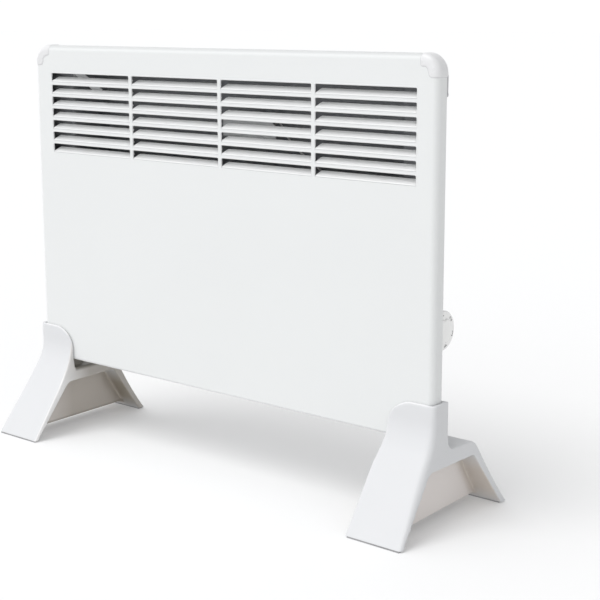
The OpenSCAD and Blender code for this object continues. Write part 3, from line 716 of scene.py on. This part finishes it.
def build_casing():
    """A folded box: flange, walls and back. Outer skin faces out; the inside is given a dark grey that is painted
    shade.
    """
    s = Sheet()
    t = SHEET
    # flange edge, straight except for the two cut top corners
    edge = [(-289, Z0 + 4), (289, Z0 + 4), (289, Z1 - 19.5), (273.5, Z1 - 4), (-273.5, Z1 - 4), (-289, Z1 - 19.5)]
    outer = [s.v((x, CY0 + t, z), (x, CY0, z)) for x, z in edge]
    path = rounded_rect(-CW, CW, CZ0, CZ1, (4.0,) * 4, 5)
    # a little material stays outside the walls for the bend into the flange
    bend, back = 2.5, 3.0
    rows = []
    for j in range(5):
        f = math.radians(90.0 * j / 4)
        d, y = -bend * (1.0 - math.sin(f)), CY0 + t + bend * (1.0 - math.cos(f))
        row = []
        for p in path:
            x, z = inset_point(p, d)
            xi, zi = inset_point(p, d + t * math.sin(f))
            row.append(s.v((x, y, z), (xi, y - t * math.cos(f), zi)))
        rows.append(row)
    for j in range(6):
        f = math.radians(90.0 * j / 5)
        d, y = back * (1.0 - math.cos(f)), CY1 - back + back * math.sin(f)
        row = []
        for p in path:
            x, z = inset_point(p, d)
            xi, zi = inset_point(p, d + t * math.cos(f))
            row.append(s.v((x, y, z), (xi, y - t * math.sin(f), zi)))
        rows.append(row)
    n = len(path)
    for j, (a, b) in enumerate(zip(rows, rows[1:])):
        for i in range(n):
            k = (i + 1) % n
            p, q = path[i], path[k]
            if j == 4 and p[1] == CZ0 and q[1] == CZ0 and (p[0] != q[0]):
                # underside, with its air inlets and the gland's hole
                inlets = [slot_loop(s, (c - 7.5) * 23, 24 + (m - 1) * 11, 16, 5, CZ0, t, axis="z") for c in range(16) for m in range(3)]
                gland = circle_loop(s, 205, 28, 6.1, CZ0, t, axis="z")
                plane_fill(s.bm, [[a[i], a[k], b[k], b[i]]] + inlets + [gland], lambda c: (c.x, c.y), (0, 0, -1))
                continue
            if j == 4 and p[0] == CW and q[0] == CW and (p[1] != q[1]):
                # right wall, with the thermostat's bush and two screws
                loops = [circle_loop(s, DIAL_Y, DIAL_Z, 5.2, CW, -t, axis="x")]
                loops += [circle_loop(s, DIAL_Y, DIAL_Z + h, 1.6, CW, -t, axis="x") for h in (-30, 30)]
                plane_fill(s.bm, [[a[i], a[k], b[k], b[i]]] + loops, lambda c: (c.y, c.z), (1, 0, 0))
                continue
            s.bm.faces.new((a[i], b[i], b[k], a[k]))
    # flange
    holes = [circle_loop(s, e * 286, z, 1.75 if z > 130 else 2.3, CY0 + t, -t, 16) for e in (-1, 1) for z in (104, 120, 165, 290, 425)]
    plane_fill(s.bm, [outer, rows[0]] + holes, lambda c: (c.x, c.z), (0, 1, 0))
    # back wall with its air inlets, wall holes, rivets and earth screw
    holes = [slot_loop(s, (c - 6.5) * 25, 134 + (m - 1) * 9, 20, 4, CY1, -t) for c in range(14) for m in range(3)]
    holes += [circle_loop(s, e * 160, 415, 2.75, CY1, -t) for e in (-1, 1)]
    holes += [circle_loop(s, e * 214, z, 1.65, CY1, -t) for e in (-1, 1) for z in (204, 236)]
    holes += [circle_loop(s, 186, 118, 2.05, CY1, -t), circle_loop(s, -7, 389, 1.65, CY1, -t)]
    plane_fill(s.bm, [rows[-1]] + holes, lambda c: (c.x, c.z), (0, 1, 0))
    s.bm.normal_update()
    # the inner side and cut edges: inner faces take the dark grey that is painted shade
    s.thicken(back_mat=1, edge_mat=0)
    o = finish_mesh(s.bm, "rear_casing_sheet", [M["casing"], M["dark_inside"]], "heater", ["rear_casing"])
    tidy(o)
    return o


casing = build_casing()

# ------------------------------------------------------------------ feet

FOOT_Y, FOOT_LEAN, FOOT_R, FOOT_TZ, REAR_LEAN = 94.0, 0.72, 60.0, 79.3, 0.63
PAD_T, BRIDGE_Z, ARCH_Z, COLL_X, COLL_Z = 1.2, 79.5, 64.3, 297.0, 130.6
ARCH_A, ARCH_B = 4.8 - FOOT_Y, FOOT_Y - 8.7
LEAN_A = math.atan(FOOT_LEAN)


def foot_front(z):
    """How far forward the leg and tongue stand at a height, and the tangent's slope there."""
    ty = -FOOT_Y + FOOT_LEAN * FOOT_TZ
    cy, cz = ty - FOOT_R * math.cos(LEAN_A), FOOT_TZ + FOOT_R * math.sin(LEAN_A)
    if z <= FOOT_TZ:
        return -FOOT_Y + FOOT_LEAN * z, FOOT_LEAN
    if z <= cz:
        a = math.asin((cz - z) / FOOT_R)
        return cy + FOOT_R * math.cos(a), math.tan(a)
    k = (z - cz) / (COLL_Z - cz)
    return cy + FOOT_R + 0.4 * k * k, 0.0


def foot_in(z):
    return 235.5 + 3.7 * smooth01((z - 58.0) / 36.0)


def foot_out(y, z):
    h = 0.0 if z > 99 else ((99 - z) ** 2 / 32.0 if z > 83 else 91.0 - z)
    return min(COLL_X + 0.1085 * h + 0.0515 * (y + 32.0) * smooth01((97.0 - z) / 30.0), 313.1)


def foot_edge_r(z):
    return 3.3 + 3.7 * smooth01(z / 60.0) - 2.6 * smooth01((z - 96.0) / 34.0)


def arc_pts(cy, cz, r, a0, a1, n):
    return [(cy + r * math.cos(math.radians(a0 + (a1 - a0) * i / n)), cz + r * math.sin(math.radians(a0 + (a1 - a0) * i / n)))
            for i in range(n + 1)]


def prism(pts, lo, hi, axis):
    """A closed prism over a polygon of two coordinates, between two values of the third."""
    bm = bmesh.new()

    def at(p, q):
        return {"x": (q, p[0], p[1]), "y": (p[0], q, p[1]), "z": (p[0], p[1], q)}[axis]
    a = [bm.verts.new(at(p, lo)) for p in pts]
    b = [bm.verts.new(at(p, hi)) for p in pts]
    bm.faces.new(a)
    bm.faces.new(list(reversed(b)))
    for i in range(len(pts)):
        j = (i + 1) % len(pts)
        bm.faces.new((a[j], a[i], b[i], b[j]))
    bmesh.ops.recalc_face_normals(bm, faces=bm.faces)
    return bm


def box_pts(a0, b0, a1, b1):
    return [(a0, b0), (a1, b0), (a1, b1), (a0, b1)]


def raw_object(bm, name):
    me = bpy.data.meshes.new(name)
    bmesh.ops.scale(bm, vec=(MM, MM, MM), verts=bm.verts)
    bm.to_mesh(me)
    bm.free()
    o = bpy.data.objects.new(name, me)
    scene.collection.objects.link(o)
    return o


def drop(*objs):
    for o in objs:
        me = o.data
        bpy.data.objects.remove(o)
        bpy.data.meshes.remove(me)


def bake_modifiers(o):
    dg = bpy.context.evaluated_depsgraph_get()
    me = bpy.data.meshes.new_from_object(o.evaluated_get(dg))
    old = o.data
    o.modifiers.clear()
    o.data = me
    bpy.data.meshes.remove(old)
    return o


def relax(me, rounds, amount=0.5, weight=None):
    """Evens out a mesh by moving each point towards the middle of its neighbours."""
    n = len(me.vertices)
    co = np.empty(n * 3)
    me.vertices.foreach_get("co", co)
    co = co.reshape(n, 3)
    ed = np.empty(len(me.edges) * 2, dtype=np.int64)
    me.edges.foreach_get("vertices", ed)
    ed = ed.reshape(-1, 2)
    deg = np.maximum(np.bincount(ed.ravel(), minlength=n), 1)[:, None]
    w = amount if weight is None else amount * weight[:, None]
    for _ in range(rounds):
        acc = np.zeros_like(co)
        for c in range(3):
            acc[:, c] = (np.bincount(ed[:, 0], co[ed[:, 1], c], minlength=n)
                         + np.bincount(ed[:, 1], co[ed[:, 0], c], minlength=n))
        co += (acc / deg - co) * w
    me.vertices.foreach_set("co", co.ravel())
    me.update()


def foot_solid():
    front = [(z, True) for z in ([PAD_T, 6, 14, 24, 34, 44, 54, 64, 70, 75] + [79.3 + 34.5 * i / 18 for i in range(19)]
                                 + [117, 121, 125, 128, COLL_Z])]
    rest = [(0.0, COLL_Z), (0.0, 110.0), (0.0, 96.0)] + arc_pts(7.0, BRIDGE_Z + 7.0, 7.0, 180, 270, 8)
    rc, zc = 13.0, BRIDGE_Z - 13.0
    rest += [(20.0, BRIDGE_Z + 0.2)] + arc_pts(FOOT_Y - REAR_LEAN * zc - rc * math.hypot(1, REAR_LEAN), zc, rc, 90,
                                               math.degrees(math.atan(REAR_LEAN)), 10)
    rest += [(FOOT_Y - REAR_LEAN * z - 2.0 * math.sin(math.pi * z / 72.0), z) for z in (62, 52, 42, 32, 22, 12, 5)]
    rest += [(FOOT_Y - REAR_LEAN * PAD_T, PAD_T), (ARCH_B - 0.68 * PAD_T, PAD_T)]
    rest += [(ARCH_B - 0.68 * z - 1.2 * math.sin(math.pi * z / 60.0), z) for z in (10, 20, 30, 40, 50)]
    rest += arc_pts(ARCH_B - 0.68 * (ARCH_Z - 6) - 6 * math.hypot(1, 0.68), ARCH_Z - 6, 6, math.degrees(math.atan(0.68)), 90, 6)
    rest += arc_pts(ARCH_A + 0.83 * (ARCH_Z - 14) + 14 * math.hypot(1, 0.83), ARCH_Z - 14, 14, 90, 180 - math.degrees(math.atan(0.83)), 10)
    rest += [(ARCH_A + 0.83 * z, z) for z in (40, 20, PAD_T)]
    bm = bmesh.new()
    rows = []
    shares = [0.0, 0.03, 0.1, 0.2, 0.34, 0.5, 0.68, 0.86, 1.0]
    for u in shares:
        row = []
        for z, _ in front:
            y, slope = foot_front(z)
            r = foot_edge_r(z)
            g = r * (1 - math.sqrt(max(0.0, 1 - (1 - u) ** 2))) * math.hypot(1, slope)
            row.append(bm.verts.new((foot_out(y, z) - r * u, y + g, z)))
        for y, z in rest:
            row.append(bm.verts.new((foot_out(y, z) - 0.9 * u * foot_edge_r(z), y, z)))
        rows.append(row)
    for k in (0.35, 0.7, 1.0):
        row = []
        for v in rows[8]:
            x = v.co.x + (foot_in(v.co.z) - v.co.x) * k
            row.append(bm.verts.new((x, v.co.y, v.co.z)))
        rows.append(row)
    for a, b in zip(rows, rows[1:]):
        ring_faces(bm, a, b)
    plane_fill(bm, [rows[0]], lambda c: (c.y, c.z), (1, 0, 0))
    plane_fill(bm, [rows[-1]], lambda c: (c.y, c.z), (-1, 0, 0))
    bmesh.ops.recalc_face_normals(bm, faces=bm.faces)
    body = raw_object(bm, "foot_raw")

    cut = bmesh.new()
    parts = [
        prism(box_pts(200, -22.3, HW + 0.3, BY + 0.5), 89.9, 140, "z"),          # the panel's seat
        prism(box_pts(200, -22.8, 250, 12), 89.9, 140, "z"),                      # no rear wall on the inner side
        prism(box_pts(200, -22.8, 246, 12), BRIDGE_Z, 91, "z"),                   # gap over the bridge
        prism(box_pts(245, BY + 0.4, 250, 12), BRIDGE_Z, 91, "z"),
        prism([(230, 115.4), (250, 115.4)] + [(268 - 18 * math.cos(math.radians(a)), 113 + 18 * math.sin(math.radians(a)))
                                              for a in range(8, 91, 9)] + [(268, 140), (230, 140)], BY + 0.3, 6, "y"),
        prism([(230, 104), (239.2, 104)] + [(272.2 - 33 * math.cos(math.radians(a)), 104 + 27 * math.sin(math.radians(a)))
                                            for a in range(6, 91, 6)] + [(272.2, 140), (230, 140)], -60, -15, "y"),
    ]
    tools = [raw_object(p, f"cut_{i}") for i, p in enumerate(parts)]
    cut.free()
    for tool in tools:
        m = body.modifiers.new("cut", "BOOLEAN")
        m.operation = "DIFFERENCE"
        m.solver = "EXACT"
        m.object = tool
    bake_modifiers(body)
    drop(*tools)

    # web block between the legs: flares into the rear leg, hollow underneath
    bm = bmesh.new()
    rear = [-2.5, 0.0, 1.5, 3.0, 5.0, 7.0, 9.5, 12.0, 15.0, 18.0]
    fwd = 18.0

    def face_x(d, side):
        dip = 2.6 * (1.0 - min(max(d, 0.0), fwd) / fwd) ** 2
        return 285.4 - dip if side > 0 else 258.0 + dip

    def low(d):
        return 10.0 - 4.0 * max(0.0, 1 - max(d, 0.0) / 9.0) ** 1.4
    cols = []
    for d in rear:
        cols.append(("rear", d))
    for k in (0.25, 0.5, 0.75, 1.0):
        cols.append(("mix", k))
    grids = {}
    levels = 9
    for side in (1, -1):
        grid = []
        for kind, d in cols:
            col = []
            for i in range(levels + 1):
                z = (low(d) if kind == "rear" else 10.0)
                z = z + (ARCH_Z + 4.0 - z) * i / levels
                yr = ARCH_B - 0.68 * z - 1.209 * (18.0 if kind == "mix" else d)
                if kind == "mix":
                    yf = ARCH_A + 0.83 * z - 3.0
                    y = yr + (yf - yr) * d
                else:
                    y = yr
                col.append(bm.verts.new((face_x(d if kind == "rear" else 20.0, side), y, z)))
            grid.append(col)
        grids[side] = grid
    a, b = grids[1], grids[-1]
    for c in range(len(cols) - 1):
        for i in range(levels):
            bm.faces.new((a[c][i], a[c + 1][i], a[c + 1][i + 1], a[c][i + 1]))
            bm.faces.new((b[c][i], b[c][i + 1], b[c + 1][i + 1], b[c + 1][i]))
        bm.faces.new((a[c][0], b[c][0], b[c + 1][0], a[c + 1][0]))
        bm.faces.new((a[c][-1], a[c + 1][-1], b[c + 1][-1], b[c][-1]))
    for i in range(levels):
        bm.faces.new((a[0][i], a[0][i + 1], b[0][i + 1], b[0][i]))
        bm.faces.new((a[-1][i], b[-1][i], b[-1][i + 1], a[-1][i + 1]))
    bmesh.ops.recalc_face_normals(bm, faces=bm.faces)
    web = raw_object(bm, "web_raw")
    hollow = raw_object(prism([(-60, -5), (70, -5), (36, 54), (-30, 54)], 260.6, 280.2, "x"), "web_hollow")
    m = web.modifiers.new("cut", "BOOLEAN")
    m.operation = "DIFFERENCE"
    m.solver = "EXACT"
    m.object = hollow
    bake_modifiers(web)
    drop(hollow)

    bm = bmesh.new()
    bm.from_mesh(body.data)
    bm.from_mesh(web.data)
    bm.to_mesh(body.data)
    bm.free()
    drop(web)
    m = body.modifiers.new("voxels", "REMESH")
    m.mode = "VOXEL"
    m.voxel_size = 0.00085
    m.adaptivity = 0.0
    bake_modifiers(body)
    me = body.data
    co = np.empty(len(me.vertices) * 3)
    me.vertices.foreach_get("co", co)
    co = co.reshape(-1, 3) * 1000.0
    # the legs' lower edges stay crisper, the tongue's rim is softer
    low = np.clip((co[:, 2] - 2.5) / 4.0, 0.15, 1.0)
    relax(me, 5, weight=low)
    tongue = ((co[:, 2] > 88.0) & (co[:, 1] < -22.0)).astype(float)
    relax(me, 6, weight=tongue)
    return body


def build_feet():
    src = foot_solid()
    me = src.data
    made = []
    for name, side, node in (("foot_right_moulding", 1, "foot_right"), ("foot_left_moulding", -1, "foot_left")):
        m = me.copy()
        m.name = name
        if side < 0:
            m.transform(Matrix.Diagonal((-1, 1, 1, 1)))
            m.flip_normals()
        m.materials.clear()
        m.materials.append(M["foot"])
        o = bpy.data.objects.new(name, m)
        scene.collection.objects.link(o)
        m.shade_smooth()
        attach(o, "heater")
        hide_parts(node)
        made.append(o)
    print("foot faces", len(me.polygons))
    drop(src)
    return made


feet = build_feet()

# ------------------------------------------------------------------ corner caps

CAP_P = 0.59


def face_out(sheet):
    """Turns every face of an open sheet away from its inner side."""
    for f in sheet.bm.faces:
        f.normal_update()
        d = Vector((0, 0, 0))
        for v in f.verts:
            d += v.co - sheet.inner[v]
        if f.normal.dot(d) < 0:
            f.normal_flip()


def closed_prism(bm, pts, lo, hi, mat, ease=0.0):
    """A closed plate over an outline in X and Z, with its outer edges eased."""
    cx = sum(p[0] for p in pts) / len(pts)
    cz = sum(p[1] for p in pts) / len(pts)

    def ring(y, d):
        out = []
        for x, z in pts:
            h = math.hypot(x - cx, z - cz)
            out.append(bm.verts.new((x - (x - cx) / h * d, y, z - (z - cz) / h * d)))
        return out
    rings = [ring(lo, ease), ring(lo + ease * 0.3, ease * 0.3), ring(lo + ease, 0), ring(hi - ease, 0),
             ring(hi - ease * 0.3, ease * 0.3), ring(hi, ease)]
    faces = []
    for a, b in zip(rings, rings[1:]):
        faces += ring_faces(bm, a, b, mat=mat)
    for r in (rings[0], rings[-1]):
        f = bm.faces.new(r)
        f.material_index = mat
        faces.append(f)
    bmesh.ops.recalc_face_normals(bm, faces=faces)


def build_cap(name, node, side, u0, v1, curve):
    """Moulded cap over a corner: u runs in from the side edge, v down from the top edge, in millimetres."""
    s = Sheet()
    ax, az = HW - 20.0, Z1 - 20.0
    cols = []
    if u0 > 20.0:
        cols += [(HW - u0 + (u0 - 20.0) * k / 3, Z1, 0.0, 1.0) for k in range(3)]
        a0 = 90.0
    else:
        a0 = math.degrees(math.acos((20.0 - u0) / 20.0))
    cols += [(ax + 20 * math.cos(a), az + 20 * math.sin(a), math.cos(a), math.sin(a))
             for a in (math.radians(a0 * (1 - k / 20)) for k in range(21))]
    cols += [(HW, az - (v1 - 20.0) * k / 2, 1.0, 0.0) for k in (1, 2)]
    lip = [(0.12, 0.52), (0.3, 0.35), (0.42, 0.1), (0.6, 0.08)]

    def tail(col, dx, dz):
        x, z, nx, nz = col
        d, out = 0.0, []
        for step, off in lip:
            d += step
            out.append((x + dx * d, z + dz * d, nx, nz, off))
        return out
    first, last = cols[0], cols[-1]
    items = list(reversed(tail(first, -first[3], first[2]))) + [(*c, CAP_P) for c in cols] + tail(last, 0.0, -1.0)

    def section(it):
        px, pz, nx, nz, off = it
        t = min(0.45, off - 0.02)
        out = []

        def put(inset, y, inset_i, yi):
            out.append(s.v((side * (px - nx * inset), y, pz - nz * inset), (side * (px - nx * inset_i), yi, pz - nz * inset_i)))
        rf, rb = 6.5 + off, 2.2 + off
        yc, yb = FY + 6.5, BY - 2.2 + 0.9 * off / CAP_P
        for j in range(10):
            f = math.radians(10.0 * j)
            put(6.5 - rf * math.sin(f), yc - rf * math.cos(f), 6.5 - (rf - t) * math.sin(f), yc - (rf - t) * math.cos(f))
        for j in range(7):
            f = math.radians(15.0 * j)
            put(2.2 - rb * math.cos(f), yb + rb * math.sin(f), 2.2 - (rb - t) * math.cos(f), yb + (rb - t) * math.sin(f))
        put(12.0, yb + rb, 12.0, yb + rb - t)
        return out
    secs = [section(it) for it in items]
    n = len(lip)
    for k, (a, b) in enumerate(zip(secs, secs[1:])):
        ring_faces(s.bm, a, b, closed=False, mat=1 if k == 0 or k == len(secs) - 2 else 0)

    # the front face between the eased edge and the inner curve, with the same lip
    row = [c[0] for c in secs[n:len(secs) - n]]
    pts = [(HW - u, Z1 - v) for u, v in curve]
    rims = [[] for _ in range(n + 1)]
    m = len(pts)
    for i, (x, z) in enumerate(pts):
        xa, za = pts[i - 1] if i else (side * row[0].co.x, row[0].co.z)
        xb, zb = pts[i + 1] if i < m - 1 else (side * row[-1].co.x, row[-1].co.z)
        tx, tz = xb - xa, zb - za
        h = math.hypot(tx, tz)
        ox, oz = tz / h, -tx / h
        rims[0].append(s.v((side * x, FY - CAP_P, z), (side * x, FY - CAP_P + 0.45, z)))
        d = 0.0
        for k, (step, off) in enumerate(lip):
            d += step
            t = min(0.45, off - 0.02)
            q = (side * (x + ox * d), FY - off, z + oz * d)
            rims[k + 1].append(s.v(q, (q[0], q[1] + t, q[2])))
    for k in range(n + 1):
        a = secs[n - k][0]
        b = secs[len(secs) - 1 - n + k][0]
        rims[k] = [a] + rims[k] + [b]
    plane_fill(s.bm, [row + list(reversed(rims[0][1:-1]))], lambda c: (c.x, c.z), (0, -1, 0))
    for k, (a, b) in enumerate(zip(rims, rims[1:])):
        ring_faces(s.bm, a, b, closed=False, mat=1 if k == n - 1 else 0)
    face_out(s)
    bm = s.thicken()

    # tab behind the panel's rim with its round snap
    tab = [(HW - 6.0, Z1 - 21.0), (HW - 0.3, Z1 - 21.0), (HW - 0.3, Z1 - 30.0), (HW - 0.3, Z1 - 37.3)]
    tab += [(HW - 2.8 + 3.0 * math.cos(math.radians(f)), Z1 - 40.0 + 3.0 * math.sin(math.radians(f))) for f in range(20, -201, -20)]
    tab += [(HW - 6.0, Z1 - 37.3)]
    closed_prism(bm, [(side * x, z) for x, z in tab], BY + 0.12, BY + 1.5, 2, 0.3)
    snap = [(HW - 2.8 + 2.8 * math.cos(math.radians(f)), Z1 - 40.0 + 2.8 * math.sin(math.radians(f))) for f in range(0, 360, 15)]
    closed_prism(bm, [(side * x, z) for x, z in snap], BY + 0.3, BY + 1.49, 2, 0.35)
    o = finish_mesh(bm, name, [M["cap"], M["seam"], M["tab"]], "heater", [node])
    tidy(o)
    return o


caps = [
    build_cap("corner_cap_right_shell", "corner_cap_right", 1, 19.5, 22.0,
              [(19.5, 8.4), (19.5, 10.2), (19.1, 11.2), (18.2, 11.6), (16.5, 11.5), (14.6, 11.6), (13.2, 12.3), (12.0, 13.5),
               (11.2, 15.2), (10.6, 17.0), (10.2, 18.8), (9.7, 20.4), (8.9, 21.5), (7.6, 22.0)]),
    build_cap("corner_cap_left_shell", "corner_cap_left", -1, 24.0, 22.9,
              [(24.0, 8.0), (24.0, 10.0), (23.6, 10.8), (21.7, 11.1), (20.2, 11.4), (18.7, 11.9), (17.1, 12.5), (15.7, 13.4), (14.5, 14.7),
               (13.7, 16.4), (13.4, 18.5), (13.1, 20.4), (12.3, 21.7), (11.0, 22.5), (9.2, 22.9)]),
]

# ------------------------------------------------------------------ dial

KNOB_OUT = [(19.05 + 2.2 * math.cos(math.radians(a)), 10.2 + 2.2 * math.sin(math.radians(a))) for a in (0, 16, 32, 48, 64, 80)]


def grip_r(a):
    return 13.3 - 1.9 * (0.5 + 0.5 * math.cos(6.0 * (a - math.radians(30.0)))) ** 2


def build_knob():
    """Skirted dial with six finger scallops, drawn ring by ring from the bore round the back and over the front."""
    bm = bmesh.new()
    n = 144
    rows = [[(3.02, 9.3)] * 2, [(3.02, 1.2)] * 2, [(5.0, 1.2)] * 2, [(5.2, 1.5)] * 2, [(5.3, 8.0)] * 2, [(18.4, 8.0)] * 2,
            [(18.85, 7.5)] * 2, [(18.85, 0.4)] * 2, [(19.05, 0.1)] * 2, [(20.65, 0.0)] * 2, [(21.05, 0.15)] * 2, [(21.25, 0.6)] * 2,
            [(21.25, 5.0)] * 2]
    rows = [[lambda a, q=r[0]: q] for r in rows]
    rows += [[lambda a, q=q: q] for q in KNOB_OUT]
    rows += [[lambda a: (18.4, 12.5)], [lambda a: (16.6, 12.72)]]
    for d, h in ((1.2, 12.86), (0.5, 12.95), (0.15, 13.15), (0.0, 13.5), (-0.1, 13.9)):
        rows.append([lambda a, d=d, h=h: (grip_r(a) + d, h)])
    for k in (15, 35, 55, 75, 90):
        f = math.radians(k)
        rows.append([lambda a, f=f: (grip_r(a) - 0.1 - 1.4 * (1 - math.cos(f)), 13.9 + 1.1 * math.sin(f))])
    for k in (0.8, 0.55, 0.3):
        rows.append([lambda a, k=k: ((grip_r(a) - 1.5) * k + 0.0, 15.0 + 0.2 * (1 - k * k))])
    rings = []
    for r in rows:
        ring = []
        for g in range(n):
            a = 2 * math.pi * g / n
            rho, h = r[0](a)
            ring.append(bm.verts.new((DIAL_X + h, DIAL_Y + rho * math.cos(a), DIAL_Z + rho * math.sin(a))))
        rings.append(ring)
    for a, b in zip(rings, rings[1:]):
        ring_faces(bm, a, b)
    for ring, h in ((rings[0], 9.3), (rings[-1], 15.2)):
        c = bm.verts.new((DIAL_X + h, DIAL_Y, DIAL_Z))
        for g in range(n):
            bm.faces.new((ring[g], ring[(g + 1) % n], c))
    bmesh.ops.recalc_face_normals(bm, faces=bm.faces)
    o = finish_mesh(bm, "dial_knob", [M["knob"]], "dial", ["thermostat_knob"])
    tidy(o)
    return o


def skirt_h(rho):
    prof = [(14.0, 12.95), (16.6, 12.72), (18.4, 12.5)] + [KNOB_OUT[i] for i in (5, 4, 3, 2, 1)]
    return float(np.interp(rho, [p[0] for p in prof], [p[1] for p in prof]))


def ellipse(cx, cy, rx, ry, a0, a1, n):
    return [(cx + rx * math.cos(math.radians(a0 + (a1 - a0) * i / n)), cy + ry * math.sin(math.radians(a0 + (a1 - a0) * i / n)))
            for i in range(n + 1)]


DIGITS = [
    [ellipse(0, 0, 1.3, 2.2, 90, 450, 24)],
    [[(-0.8, 1.35), (0.15, 2.2), (0.15, 0.0), (0.15, -2.2)]],
    [ellipse(0, 1.0, 1.2, 1.2, 165, -25, 10) + [(0.2, -0.6), (-1.35, -2.15), (0.0, -2.15), (1.4, -2.15)]],
    [ellipse(0, 1.15, 1.1, 1.05, 155, -90, 10), ellipse(0, -0.95, 1.3, 1.2, 90, -150, 12)],
    [[(0.55, -2.2), (0.55, 0.0), (0.55, 2.2), (-1.4, -0.85), (0.0, -0.85), (1.4, -0.85)]],
    [[(1.15, 2.2), (-0.85, 2.2), (-1.05, 0.35)] + ellipse(0, -0.75, 1.3, 1.4, 130, -150, 12)],
]


def build_numerals():
    """Printed figures 0 to 5 laid on the skirt of the dial, read from the side."""
    bm = bmesh.new()
    half = 0.36
    for k, strokes in enumerate(DIGITS):
        turn = math.radians(41.0 - 60.0 * (k - 2))
        for line in strokes:
            closed = len(line) > 3 and math.dist(line[0], line[-1]) < 0.01
            pts = line[:-1] if closed else line
            m = len(pts)
            rings = []
            for i, (x, y) in enumerate(pts):
                xa, ya = pts[i - 1] if i or closed else pts[i]
                xb, yb = pts[(i + 1) % m] if i < m - 1 or closed else pts[i]
                tx, ty = xb - xa, yb - ya
                h = math.hypot(tx, ty)
                ox, oy = -ty / h * half, tx / h * half
                ring = []
                for sgn, lift in ((1, 0.06), (-1, 0.06), (-1, -0.06), (1, -0.06)):
                    gx, gy = x + sgn * ox, 1.15 * y + sgn * oy
                    rho = 16.6 + gx
                    ang = turn + gy / 16.6
                    ring.append(bm.verts.new((DIAL_X + skirt_h(rho) + lift, DIAL_Y + rho * math.cos(ang), DIAL_Z + rho * math.sin(ang))))
                rings.append(ring)
            for i in range(m if closed else m - 1):
                ring_faces(bm, rings[i], rings[(i + 1) % m])
            if not closed:
                bm.faces.new(rings[0])
                bm.faces.new(rings[-1])
    bmesh.ops.recalc_face_normals(bm, faces=bm.faces)
    return finish_mesh(bm, "dial_numerals", [M["print"]], "dial", smooth=False)


knob = build_knob()
numerals = build_numerals()

# ------------------------------------------------------------------ floor

fm, fb = principled("floor_paint", (0.69, 0.69, 0.69), 0.9, spec=0.0)
fb.inputs["Emission Color"].default_value = (1.0, 1.0, 1.0, 1.0)
fb.inputs["Emission Strength"].default_value = 0.155   # a table lit faintly from below
ft = fm.node_tree
fn_ = ft.nodes.new("ShaderNodeTexNoise")
fn_.inputs["Scale"].default_value = 2.0
fr = ft.nodes.new("ShaderNodeMapRange")
fr.inputs["To Min"].default_value = 0.88
fr.inputs["To Max"].default_value = 0.94
ft.links.new(fn_.outputs["Fac"], fr.inputs["Value"])
ft.links.new(fr.outputs["Result"], fb.inputs["Roughness"])
bpy.ops.mesh.primitive_plane_add(size=60.0, location=(0, 0, 0))
floor = bpy.context.object
floor.name = "floor"
floor.data.materials.append(fm)
